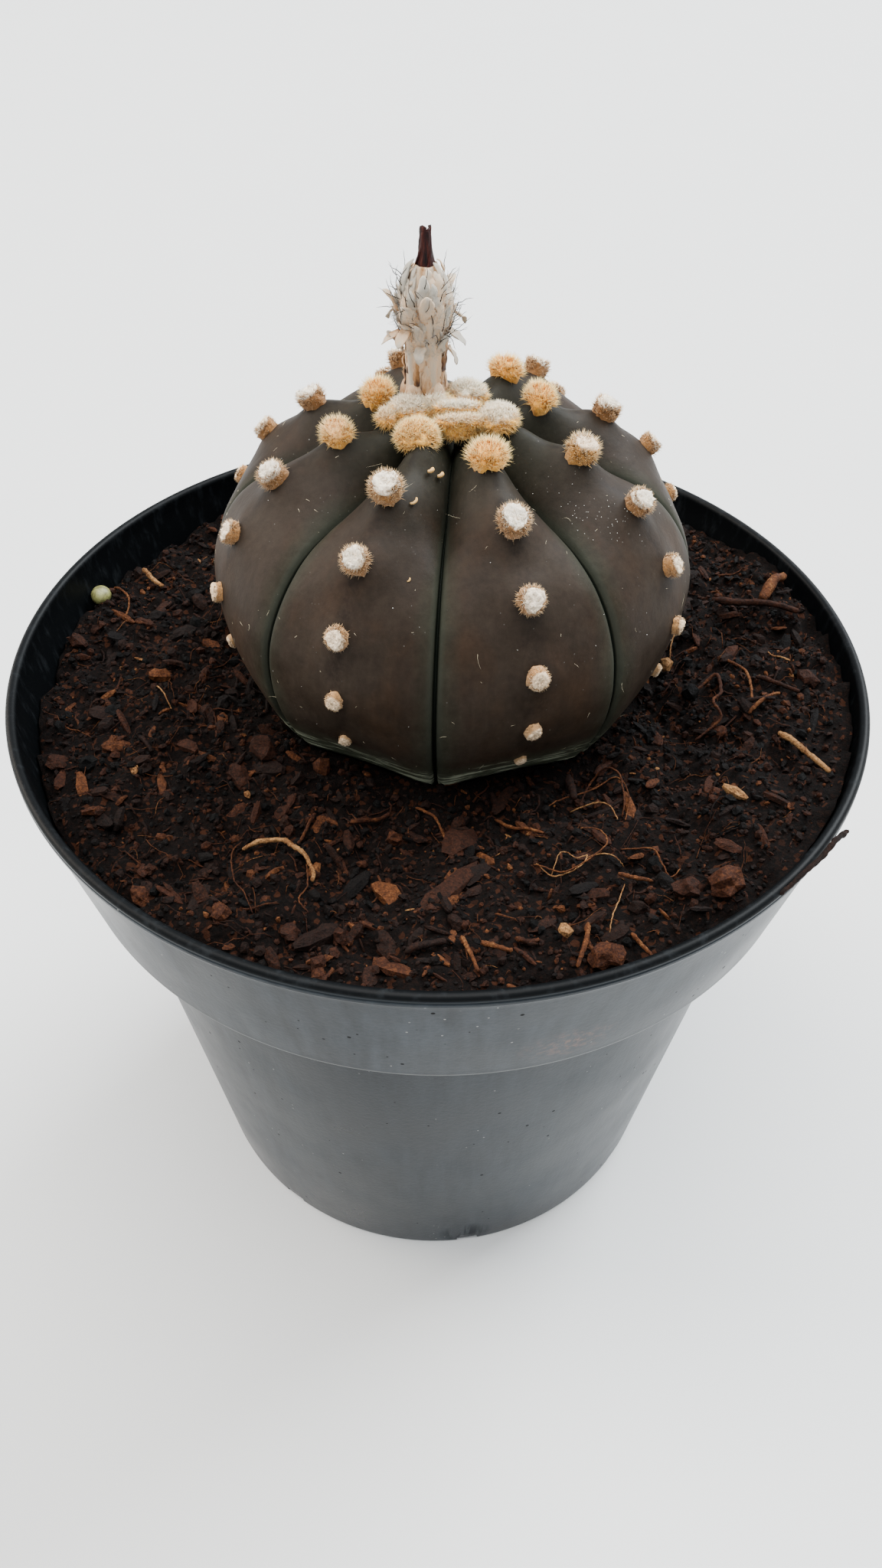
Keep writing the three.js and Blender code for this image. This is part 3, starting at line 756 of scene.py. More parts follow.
@dataclass(frozen=True)
class PaleFloor:
    """The studio's floor: even and pale."""

    light: Colour = (0.6, 0.6033, 0.6)
    dark: Colour = (0.5733, 0.5833, 0.5833)

    def make(self) -> bpy.types.Material:
        """Builds the material."""
        on = Shader("floor")
        return on.done(on.mix(on.noise(70, 4), self.dark, self.light), 0.65, shine=0.2)


# ---- Pieces ----
def linked(name: str, data: bpy.types.ID) -> bpy.types.Object:
    """A new object in the scene that holds a mesh, lamp or lens."""
    made = bpy.data.objects.new(name, data)
    bpy.context.scene.collection.objects.link(made)
    return made


def add_piece(
    name: str, shape: Surface, material: bpy.types.Material, replaces: Sequence[str] = (),
    sharp: bool = False,
) -> bpy.types.Object:
    """Puts a surface into Blender as a piece of the object.

    Args:
        name: the piece's name.
        shape: its surface in millimetres.
        material: its finish.
        replaces: nodes of the frame that it stands for.
        sharp: shade each face flat.

    Returns:
        The new object, riding on the root body.
    """
    mesh = bpy.data.meshes.new(name)
    triangles = len(shape.tris)
    corners = np.concatenate([shape.tris.ravel(), shape.quads.ravel()])
    mesh.vertices.add(len(shape.points))
    mesh.vertices.foreach_set("co", (shape.points * MM).astype(np.float32).ravel())
    mesh.loops.add(len(corners))
    mesh.loops.foreach_set("vertex_index", corners)
    mesh.polygons.add(triangles + len(shape.quads))
    quad_starts = triangles * 3 + np.arange(len(shape.quads)) * 4
    mesh.polygons.foreach_set("loop_start", np.concatenate([np.arange(triangles) * 3, quad_starts]))
    mesh.polygons.foreach_set("use_smooth", np.full(len(mesh.polygons), not sharp))
    mesh.update(calc_edges=True)
    for value, numbers in shape.values.items():
        mesh.attributes.new(value, "FLOAT", "POINT").data.foreach_set("value", numbers.astype(np.float32))
    mesh.materials.append(material)
    piece = linked(name, mesh)
    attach(piece, "root")
    for node in replaces:
        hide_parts(node)
    LOG.info("%s: %d triangles", name, len(shape.tris) + 2 * len(shape.quads))
    return piece


# ---- Pot ----
@dataclass
class Pot:
    """Round nursery pot: thin tapered wall, ledge, deep collar and a rolled lip."""

    height: float = 110.5
    rim_radius: float = 65.0
    lip_height: float = 2.0
    lip_thickness: float = 1.6
    lip_step: float = 0.5
    clean_lip: float = 0.6
    wall: float = 1.0
    collar_height: float = 24.6
    collar_foot_radius: float = 60.4
    ledge_radius: float = 55.5
    base_radius: float = 45.6
    floor_lift: float = 2.0
    floor_thickness: float = 1.2
    pad_radius: float = 14.0
    drain_holes: int = 8
    drain_hole_radius: float = 4.0
    drain_circle_radius: float = 30.0
    notch_width: float = 4.0
    notch_height: float = 1.7
    notch_turn: float = math.radians(9)
    warp: float = 0.12
    sides: int = 240

    def outline(self) -> Array:
        """The wall's section, from the axis under the pot round to the axis inside it.

        Straight runs are cut into short steps, and the lip and the collar's edge are arcs.

        Returns:
            Rows of [radius, height, dust, edge]; edge is a painted highlight along the collar's rounded
            foot.
        """
        top, foot, wall = self.height, self.height - self.collar_height, self.wall
        collar, ledge = self.collar_foot_radius, self.ledge_radius
        base, pad = self.base_radius, self.pad_radius
        lip_foot, outer, bead = top - self.lip_height, self.rim_radius, self.lip_thickness / 2
        lip_inner, collar_top = outer - self.lip_thickness, outer - self.lip_step
        lift, thick, inside = self.floor_lift, self.floor_thickness, base - wall * 1.3
        turn = np.linspace(-0.35, math.pi, 12)[:, None]
        lip = np.hstack([outer - bead + bead * np.cos(turn), top - bead + bead * np.sin(turn)])
        turn = np.linspace(-math.pi / 2, 0, 5)[:, None]
        round_edge = 0.35 * np.hstack([np.cos(turn) - 1, np.sin(turn) + 1]) + (collar, foot)
        runs = [
            ((0.05, 0), (pad, 0), 6, 0.2, 0),
            ((pad + lift, lift), (inside - 1, lift), 8, 0.2, 0),
            ((inside - 0.4, 0), (base - 0.5, 0), 2, 0.6, 0),
            ((base - 0.1, 0.25), (base + 0.05, 0.7), 2, 0.8, 0),
            ((base + 0.1, 1.0), (ledge, foot - 0.25), 40, 0.72, 0),
            ((ledge + 0.3, foot), (collar - 0.5, foot), 4, 0.5, 0),
            # the collar's rounded foot: dusty, with a painted highlight along it
            (round_edge, 1.0, 0.35),
            ((collar + 0.03, foot + 0.6), (collar_top, lip_foot - 0.35), 20, 1.0, 0),
            ((collar_top + 0.1, lip_foot - 0.12), (outer - 0.04, lip_foot + 0.1), 2, 0.2, 0),
            ((outer, lip_foot + 0.3), (outer, top - bead - 0.3), 3, 0.9, 0),
            (lip, 0.0, 0),
            ((lip_inner, lip_foot), (collar - wall, foot + wall), 14, 0.0, 0),
            ((ledge - wall, foot), (inside, lift + thick), 12, 0.0, 0),
            ((inside - 1, lift + thick), (pad + 1, lift + thick), 4, 0.0, 0),
            ((pad - 1, thick), (0.05, thick), 4, 0.0, 0),
        ]
        rows = []
        for *line, dust, edge in runs:
            points = line[0] if len(line) == 1 else np.linspace(*line)
            rows.append(np.hstack([points, np.full((len(points), 2), (dust, edge))]))
        return np.concatenate(rows)

    def surface(self) -> Surface:
        """The section carried round, with the wall bowed by warp * sin(3 a) * sin(pi z / height)."""
        outline = self.outline()[::-1]
        angle = around(self.sides)
        radius, lift = outline[:, :1], outline[:, 1:2]
        free = (radius > self.pad_radius + 5) & (lift > 5) & (lift < self.height - 4)
        bow = self.warp * np.sin(angle * 3 + 0.6) * np.sin(lift / self.height * math.pi)
        reach = radius + np.where(free, bow, 0)
        rings = carried_round(reach, lift, angle)
        shape = lattice(rings, (0, 0, outline[0, 1]), (0, 0, outline[-1, 1]))
        dust, edge = (np.append(np.repeat(outline[:, i], self.sides), [0, 0]) for i in (2, 3))
        return shape.tagged(dust=dust, edge=edge)

    def cutters(self) -> Surface:
        """Plugs for the drain holes through the floor and blocks for the notches in the foot ring."""
        parts = []
        circle = level(around(24)) * self.drain_hole_radius
        for heading in around(self.drain_holes):
            middle = level(heading) * self.drain_circle_radius
            plug = np.stack([circle + middle + (0, 0, z) for z in (self.floor_lift * 3, -self.floor_lift)])
            out = level(heading + self.notch_turn)
            over = np.array([-out[1], out[0], 0]) * self.notch_width / 2
            near, far = out * (self.base_radius - 5), out * (self.base_radius + 5)
            square = np.stack([far + over, near + over, near - over, far - over])
            block = np.stack([square + (0, 0, z) for z in (self.notch_height, -self.notch_height)])
            parts += [lattice(solid, *solid.mean(1)) for solid in (plug, block)]
        return joined(parts)

    def build(self) -> None:
        """Makes the pot, cuts its drain holes and notches, and dresses it."""
        piece = add_piece("pot_shell", self.surface(), DustyPlastic().make(), ["pot"])
        piece.data.materials.append(CleanPlastic().make())
        faces = len(piece.data.polygons)
        middle, normal = np.empty(faces * 3), np.empty(faces * 3)
        piece.data.polygons.foreach_get("center", middle)
        piece.data.polygons.foreach_get("normal", normal)
        middle, normal = middle.reshape(-1, 3) / MM, normal.reshape(-1, 3)
        inward = (middle * normal)[:, :2].sum(1) < 0
        lift = middle[:, 2]
        clean = (lift > self.height - self.clean_lip) | (inward & (lift > self.floor_thickness))
        piece.data.polygons.foreach_set("material_index", clean.astype(int))
        shape = self.cutters()
        mesh = bpy.data.meshes.new("cutters")
        mesh.from_pydata((shape.points * MM).tolist(), [], shape.quads.tolist() + shape.tris.tolist())
        tool = linked("cutters", mesh)
        cut = piece.modifiers.new("drain", "BOOLEAN")
        cut.object = tool
        bpy.context.view_layer.update()
        result = bpy.data.meshes.new_from_object(piece.evaluated_get(bpy.context.evaluated_depsgraph_get()))
        piece.modifiers.clear()
        piece.data = result
        bpy.data.objects.remove(tool)

    def inner_radius(self, height: Array) -> Array:
        """Radius of the inside of the collar at a height."""
        heights = (self.height - self.collar_height + self.wall, self.height - self.lip_height)
        radii = (self.collar_foot_radius - self.wall, self.rim_radius - self.lip_thickness)
        return np.interp(height, heights, radii)


# ---- Stem ----
@dataclass
class Stem:
    """Ribbed stem: the crest's outline carried round eight ribs and sunk in the grooves."""

    x: float = 1.7
    y: float = 7.9
    rim: float = 110.5
    rib_angles: tuple[float, ...] = (-115.5, -71.6, -26.5, 16.7, 59.3, 111.3, 160.1, 200.5)
    groove_angles: tuple[float, ...] = (-93.4, -50.6, -4.9, 38.0, 85.3, 135.7, 180.3, 225.0)
    crest: tuple[tuple[float, float], ...] = (
        (0, 30.5), (10.4, 33.6), (21.4, 31), (30, 24.3), (35, 14.2), (34.5, 3.6), (29.3, -6.5),
    )
    root: tuple[tuple[float, float], ...] = ((21, -16), (11, -25), (5, -36), (0, -42))
    rib_depth: float = 5.0
    rib_depth_centre: float = 0.25
    rib_depth_spread: float = 0.2
    foot_flare: float = 2.2
    crease_depth: float = 0.95
    crease_width: float = 0.36
    valley_depth: float = 0.35
    valley_width: float = 1.3
    areole_first: float = 5.6
    areole_pitch: float = 9.9
    areole_closing: float = 0.06
    areoles_per_rib: int = 7
    areole_radius: float = 3.3
    areole_shrink: float = 0.42
    stagger: tuple[float, ...] = (0.48, 0.87, 0.37, -0.24, -0.05, -0.28, -0.33, 0.17)
    chin_height: float = 1.9
    chin_spread: float = 3.6
    half_rib_steps: int = 24
    crest_rows: int = 150
    root_rows: int = 14

    def __post_init__(self) -> None:
        """Works out the crest's length and the even turn between a crest and its groove."""
        line = spline(self.crest, np.linspace(0, 1, 201))[0]
        self.ribs = len(self.rib_angles)
        self.crest_length = float(np.linalg.norm(np.diff(line, axis=0), axis=1).sum())
        self.crest_share = (len(self.crest) - 1) / (len(self.crest) + len(self.root) - 1)
        self.half_rib = math.pi / self.ribs

    def distance(self, rib: Array, n: Array) -> Array:
        """How far along the crest areole n of a rib sits: a pitch that closes up towards the soil."""
        step = n + np.asarray(self.stagger)[rib]
        return self.areole_first + self.areole_pitch * step - self.areole_closing * step**2

    def direction(self, turn: Array) -> Array:
        """True heading of an even turn: straight-line steps between the ribs' and grooves' own angles."""
        edges = np.stack([self.rib_angles, self.groove_angles], -1).ravel()
        edges = np.append(edges, edges[0] + 360)
        return np.radians(np.interp(turn / self.half_rib, np.arange(len(edges)), edges))

    def groove_depth(self, share: Array) -> Array:
        """Depth of the grooves: a bell at the shoulder less a flare that grows as the cube to the foot."""
        shoulder = np.exp(-(((share - self.rib_depth_centre) / self.rib_depth_spread) ** 2))
        return self.rib_depth * shoulder - self.foot_flare * np.minimum(share, 1) ** 3

    def chin(self, rib: Array, along: Array, beside: Array) -> Array:
        """Swelling under the young areoles: a round bell at each, lower the older it is."""
        height = np.zeros(np.broadcast(rib, along, beside).shape)
        young = self.areoles_per_rib - 2
        for n in range(young):
            gap = np.hypot(along - self.distance(rib, n), beside)
            height += self.chin_height * (1 - n / young) * np.exp(-((gap / self.chin_spread) ** 2))
        return height

    def skin(
        self, turn: Array, share: Array, swell: float = 0, fine: bool = True
    ) -> tuple[Array, Array, Array]:
        """Points of the skin.

        The crest's outline gives radius, height and outward direction. The point is moved along that
        direction by the chins, less the groove's depth times the square of how far it lies across the
        rib, less a narrow bell for the crease and a wider one for the valley beside it.

        Args:
            turn: even turn from the first rib's crest, in radians.
            share: place down the crest from 0 to 1, and on to 2 at the tip of the root.
            swell: extra growth outwards.
            fine: with the crease and valley, or the bare rib.

        Returns:
            Points, outward directions, and how far each lies across its rib from 0 to 1.
        """
        turn, share = np.broadcast_arrays(np.asarray(turn, float), np.asarray(share, float))
        under = self.crest_share + (1 - self.crest_share) * (share - 1)
        at = np.where(share <= 1, share * self.crest_share, under)
        place, slope = spline((*self.crest, *self.root), at)
        radius, height = place[..., 0], place[..., 1]
        whole = np.round(turn / (2 * self.half_rib))
        off = np.abs(turn - whole * 2 * self.half_rib)
        across = off / self.half_rib
        fade = np.where(share <= 1, 1.0, np.clip(1 - (share - 1) * 3, 0, 1))
        to_groove = (self.half_rib - off) * radius
        crease = self.crease_depth * np.exp(-((to_groove / self.crease_width) ** 2))
        crease += self.valley_depth * np.exp(-((to_groove / self.valley_width) ** 2))
        crease *= np.minimum(radius / 4, 1) * float(fine)
        depth = (self.groove_depth(share) * across**2 * np.minimum(radius / 8, 1) + crease) * fade
        rib = whole.astype(int) % self.ribs
        chins = self.chin(rib, share * self.crest_length, off * radius) * np.minimum(radius / 4, 1) * fade
        raised = chins + swell - depth
        out_r, out_z = -slope[..., 1], slope[..., 0]
        heading = self.direction(np.mod(turn, TAU))
        reach = np.maximum(radius + out_r * raised, 0)
        lift = self.rim + height + out_z * raised
        points = carried_round(reach, lift, heading) + (self.x, self.y, 0)
        return points, carried_round(out_r, out_z, heading), across

    def surface(self) -> Surface:
        """The whole skin: even turns across, closer by the grooves, and shares of crest and root down."""
        i = np.arange(self.half_rib_steps) / self.half_rib_steps
        half = np.concatenate([1 - (1 - i) ** 1.6, 1 + i**1.6])
        turn = (np.arange(self.ribs)[:, None] * 2 + half).ravel() * self.half_rib
        low = 1 + np.linspace(0, 1, self.root_rows + 1)[1:-1]
        share = np.concatenate([np.linspace(0.012, 1, self.crest_rows), low])[:, None]
        points, normals, across = self.skin(turn[None], share)
        uneven = 0.16 * ripple(points, 17, 1) + 0.05 * ripple(points, 5, 2)
        crust = smooth(share, 0.86, 0.96) * smooth(-share, -1.1, -1.0)
        uneven += 0.12 * crust * ripple(points * (0.25, 0.25, 1.4), 2.2, 4)
        points = points + normals * (uneven * np.clip(1.1 - share, 0, 1) ** 0.3)[..., None]
        ends = (self.x, self.y, self.rim + self.crest[0][1]), (self.x, self.y, self.rim + self.root[-1][1])
        foot = np.append(np.broadcast_to(np.minimum(share, 1), across.shape).ravel(), [0, 1])
        return lattice(points, *ends).tagged(groove=np.append(across.ravel(), [0.5, 0.5]), foot=foot)

    def build(self) -> None:
        """Makes the skin and dresses it."""
        add_piece("cactus_skin", self.surface(), WaxySkin().make(), ["cactus_body"])


# ---- Wool ----
HAIR_POINTS = 4  # points of a straight hair: a ring of three and the tip


def hairs(
    rng: Rng, root: Array, heading: Array, length: Array, radius: float, curl: float = 0.0,
    steps: int = 2,
) -> Surface:
    """Short hairs: a root, a heading times t and a random bend times t squared over 2.

    Args:
        rng: source of the random draws.
        root: one point a hair.
        heading: one unit vector a hair.
        length: one length a hair.
        radius: mean thickness at the root.
        curl: strength of the bend.
        steps: points along each hair, 2 for a straight one.

    Returns:
        Three-sided cones.
    """
    count = len(root)
    bend = rng.normal(0, curl, (count, 3))
    t = np.linspace(0, 1, steps)[None, :, None]
    path = root[:, None] + (heading[:, None] * t + bend[:, None] * t**2 / 2) * length[:, None, None]
    return tubes(path, radius * (1 - t[..., 0] ** 2) * rng.uniform(0.7, 1.3, (count, 1)), 3)


@dataclass
class Areoles:
    """Areoles along the ribs: a felt button in a ruff of hair, golden by the crown and pale below."""

    stem: Stem
    rows: int = 12
    sides: int = 24
    root_depth: float = 1.2
    hairs_each: int = 900
    hair_radius: float = 0.05
    golden_until: float = 15.5
    pale_from: float = 21.0

    def sites(self) -> dict[str, Array]:
        """Where the areoles are, their radius, how young (1 to 0) and how far down the crest (0 to 1)."""
        stem = self.stem
        n, rib = (numbers.ravel() for numbers in np.indices((stem.areoles_per_rib, stem.ribs)))
        along = stem.distance(rib, n)
        kept = (along > 12) & (along < stem.crest_length - 1.5)
        rib, n, along = rib[kept], n[kept], along[kept]
        points, normals, _ = stem.skin(rib * 2 * stem.half_rib, along / stem.crest_length)
        radius = stem.areole_radius - stem.areole_shrink * (n + np.asarray(stem.stagger)[rib] * 0.5)
        young = 1 - smooth(along, self.golden_until, self.pale_from)
        return {"point": points, "normal": normals, "radius": radius, "young": young,
                "down": smooth(along, 22, stem.crest_length)}

    @staticmethod
    def half_sizes(sites: dict[str, Array]) -> Array:
        """The buttons' half widths across and along the rib, and heights: young ones are low and wide."""
        radius, young, down = (sites[key] for key in ("radius", "young", "down"))
        wide = radius * (0.70 + 0.20 * down)
        across, along = wide * (1 - 0.1 * down + 0.1 * young), wide * (1 + 0.12 * down - 0.1 * young)
        return np.stack([across, along, radius * (0.92 - 0.12 * down - 0.2 * young)], -1)

    @staticmethod
    def power(young: Array, down: Array) -> Array:
        """Power of the buttons' section: square-shouldered when old, rounder when young or by the soil."""
        return 0.55 + 0.35 * young + 0.25 * down

    def button(self, rng: Rng, young: float, down: float) -> Surface:
        """One felt button of radius 1: a drum with rounded shoulders and a lumpy, slightly hollow top.

        With polar angle a the radius is sin(a)^power and the height cos(a)^power, both roughened.

        Args:
            rng: source of the random draws.
            young: 1 golden and round, 0 pale and flat.
            down: 1 by the soil, where the button is wide for its ruff.

        Returns:
            The button, standing on z = 0 with its foot below, with `side` 0 on top and 1 beside.
        """
        a = np.linspace(0.1, math.pi / 2, self.rows)[:, None]
        turn = around(self.sides)[None]
        phase = rng.uniform(0, TAU, 4)
        lobes = 1 + 0.06 * np.sin(2 * turn + phase[0]) + 0.05 * np.sin(3 * turn + phase[1])
        power = self.power(young, down)
        radius = np.sin(a) ** power * lobes
        dimple = (0.16 + 0.1 * young) * np.exp(-((radius / 0.4) ** 2))
        tilt = 1 + 0.1 * np.cos(turn - phase[2]) * radius
        height = np.cos(a).clip(0) ** power * tilt - dimple
        rough = 1 + 0.075 * rng.standard_normal((self.rows, self.sides))
        rings = carried_round(radius * rough, height * rough, turn)
        foot = rings[-1:] * (0.85, 0.85, 1) - (0, 0, self.root_depth / 2)
        top = (0, 0, float(height[0].mean()))
        shape = lattice(np.concatenate([rings, foot]), top, (0, 0, -self.root_depth))
        polar = np.append(a, math.pi / 2)[:, None]
        edge = np.clip((polar - 0.75 + 0.25 * np.cos(turn - phase[3])) * 2, 0, 1)
        side = np.append(edge.ravel(), [0, 1]) * (1 - 0.2 * down)
        return shape.tagged(side=side, young=young, down=down, along=0.15 + 0.4 * down)

    def felt(self, sites: dict[str, Array], rng: Rng) -> Surface:
        """All the buttons, turned to the skin; a ruff of hair fills the rest of each radius."""
        parts = []
        turns, sizes = facing(sites["normal"]), self.half_sizes(sites)
        for i, (young, down) in enumerate(zip(sites["young"], sites["down"])):
            shape = self.button(rng, float(young), float(down))
            shape.points = (shape.points * sizes[i]) @ turns[i].T + sites["point"][i]
            parts.append(shape)
        return joined(parts)

    def ruff(self, sites: dict[str, Array], rng: Rng) -> Surface:
        """Hairs on every button: standing out round its side, matted flat on its top.

        Args:
            sites: the areoles.
            rng: source of the random draws.

        Returns:
            All the hairs, with `side`, `young` and `along`.
        """
        count = (self.hairs_each * np.clip(sites["radius"] / 2.8, 0.35, 1.2) ** 1.5).astype(int)
        owner = np.repeat(np.arange(len(count)), count)
        total = len(owner)
        radius, young, down = (sites[key][owner] for key in ("radius", "young", "down"))
        beside = rng.uniform(0, 1, total) < 0.72
        a = np.where(beside, rng.uniform(0.75, 1.62, total), np.arccos(rng.uniform(0.55, 1, total)))
        turn = rng.uniform(0, TAU, total)
        power = self.power(young, down)
        root = carried_round(np.sin(a) ** power * 0.96, np.cos(a).clip(0) ** power * 0.92, turn)
        root *= self.half_sizes(sites)[owner]
        stands = beside | (rng.uniform(0, 1, total) < young)
        out = carried_round(np.sin(a), np.cos(a).clip(0), turn)
        rise = np.tan(rng.uniform(-0.1, 0.8, total))[:, None] * (0, 0, 1)
        flat = unit(rng.normal(0, 1, (total, 3)) * (1, 1, 0.15)) + (0, 0, 0.2)
        heading = unit(np.where(stands[:, None], out + rise + rng.normal(0, 0.3, (total, 3)), flat))
        share = np.where(stands, 0.36 + 0.1 * young - 0.22 * down, 0.3)
        length = radius * share * rng.uniform(0.5, 1.2, total)
        turns = facing(sites["normal"])[owner]
        root = np.einsum("kij,kj->ki", turns, root) + sites["point"][owner]
        shape = hairs(rng, root, np.einsum("kij,kj->ki", turns, heading), length, self.hair_radius)
        side = np.where(beside, 1.0 - 0.3 * down * rng.uniform(0, 1, total), 0.4 * young)
        values = {"side": side, "young": young, "down": down}
        return shape.tagged(**{name: np.repeat(value, HAIR_POINTS) for name, value in values.items()})

    def build(self) -> None:
        """Makes the buttons and their hairs."""
        rng = np.random.default_rng(21)
        sites = self.sites()
        wool = Wool().make()
        add_piece("areole_felt", self.felt(sites, rng), wool)
        add_piece("areole_hair", self.ruff(sites, rng), wool)


@dataclass(frozen=True)
class Tuft:
    """A tuft of the crown's wool: middle, lift above the rim, half sizes, heading and how golden it is."""

    x: float
    y: float
    lift: float
    half: tuple[float, float, float]
    heading: float = 0.0
    young: float = 0.6


@dataclass
class Crown:
    """The young areoles' wool, grown together over the hollow of the crown."""

    rim: float = 110.5
    tufts: tuple[Tuft, ...] = (
        Tuft(-4.6, 6.6, 35.8, (2.9, 2.5, 1.9), 0.2, 0.15),
        Tuft(-7.3, 5.4, 35.2, (1.6, 1.6, 1.4), 0.0, 0.5),
        Tuft(-1.3, 7.6, 35.6, (2.2, 2.4, 2.2), 0.5, 0.1),
        Tuft(-0.6, 8.0, 34.2, (4.0, 3.6, 3.2), 0.0, 0.9),
        Tuft(3.4, 10.6, 36.0, (2.9, 2.4, 2.2), -0.2, 0.05),
        Tuft(2.2, 4.8, 34.8, (3.7, 2.6, 2.2), 0.0, 1.0),
        Tuft(2.1, 5.2, 37.0, (3.3, 0.9, 0.8), 0.04, 0.0),
        Tuft(3.0, 3.2, 36.1, (4.3, 0.85, 0.8), 0.08, 0.45),
        Tuft(7.5, 4.4, 35.8, (2.9, 2.6, 2.1), 0.3, 0.15),
        Tuft(-3.3, 0.6, 35.2, (3.0, 2.7, 2.4), 0.0, 1.0),
    )
    rows: int = 22
    sides: int = 34
    hairs_each: int = 3100
    hair_radius: float = 0.055
    hair_length: float = 1.35

    @staticmethod
    def placed(tuft: Tuft, points: Array) -> Array:
        """Points of the unit sphere brought to the tuft's size and heading, still about the origin."""
        return (points * tuft.half) @ spun(tuft.heading)

    def middle(self, tuft: Tuft) -> Array:
        """A tuft's centre."""
        return np.array([tuft.x, tuft.y, self.rim + tuft.lift])

    def ball(self, tuft: Tuft, seed: int) -> Surface:
        """One tuft: an ellipsoid whose radius swells and sinks in waves, like matted wool."""
        sphere = sphere_rings(self.rows, self.sides)
        swell = 0.86 + 0.15 * ripple(sphere, 1.4, seed) + 0.12 * ripple(sphere, 0.5, seed + 3)
        shape = lattice(sphere * swell[..., None], (0, 0, 0.88), (0, 0, -0.88))
        side = np.clip(1.0 - 1.1 * shape.points[:, 2], 0, 1)
        shape.points = self.placed(tuft, shape.points) + self.middle(tuft)
        return shape.tagged(side=side, young=tuft.young, along=0.35)

    def fleece(self, rng: Rng) -> Surface:
        """Hairs out of every tuft, along its own outward direction with scatter, paler on top."""
        parts = []
        for tuft in self.tufts:
            count = int(self.hairs_each * (tuft.half[0] * tuft.half[1] / 7.5))
            sphere = unit(rng.standard_normal((count, 3)))
            sphere[:, 2] = np.where(sphere[:, 2] < -0.45, -sphere[:, 2], sphere[:, 2])
            root = self.placed(tuft, sphere * 0.86) + self.middle(tuft)
            out = unit(self.placed(tuft, sphere / np.square(tuft.half)))
            heading = unit(out + rng.normal(0, 0.55, (count, 3)))
            length = self.hair_length * rng.uniform(0.3, 1.1, count) * (1 - 0.3 * sphere[:, 2].clip(0, 1))
            side = np.clip(0.98 - 1.1 * sphere[:, 2] + rng.normal(0, 0.15, count), 0, 1)
            shape = hairs(rng, root, heading, length, self.hair_radius)
            parts.append(shape.tagged(side=np.repeat(side, HAIR_POINTS), young=tuft.young))
        return joined(parts)

    def build(self) -> None:
        """Makes the tufts and their hairs."""
        young = Wool("crown_wool", cream=(1.0, 0.91, 0.73))
        wool = replace(young, brown=young.ember, tan=young.gold, pale=young.straw).make()
        balls = joined([self.ball(tuft, seed) for seed, tuft in enumerate(self.tufts)])
        add_piece("crown_felt", balls, wool, ["crown_wool"])
        add_piece("crown_hair", self.fleece(np.random.default_rng(5)), wool)


# ---- Flower ----
class Coat(Enum):
    """Kinds of scale: count, lowest and highest, length, width, lean, curl, unevenness and paleness."""

    STRIPS = (16, (2.8, 6.8), 5.6, 2.3, 0.0, 0.0, 0.03, 0.48)
    FLAPS = (26, (7.8, 14.6), 4.3, 3.2, 0.24, 0.35, 0.18, 0.72)
    DROOPING = (10, (9.6, 14.6), 3.2, 2.5, 2.1, 0.5, 0.25, 0.76)
    SHEATH = (26, (12.4, 17.0), 5.0, 2.9, 0.04, 0.0, 0.05, 0.74)
    COLLAR = (9, (17.4, 18.6), 3.3, 1.4, 0.02, 0.0, 0.05, 0.7)


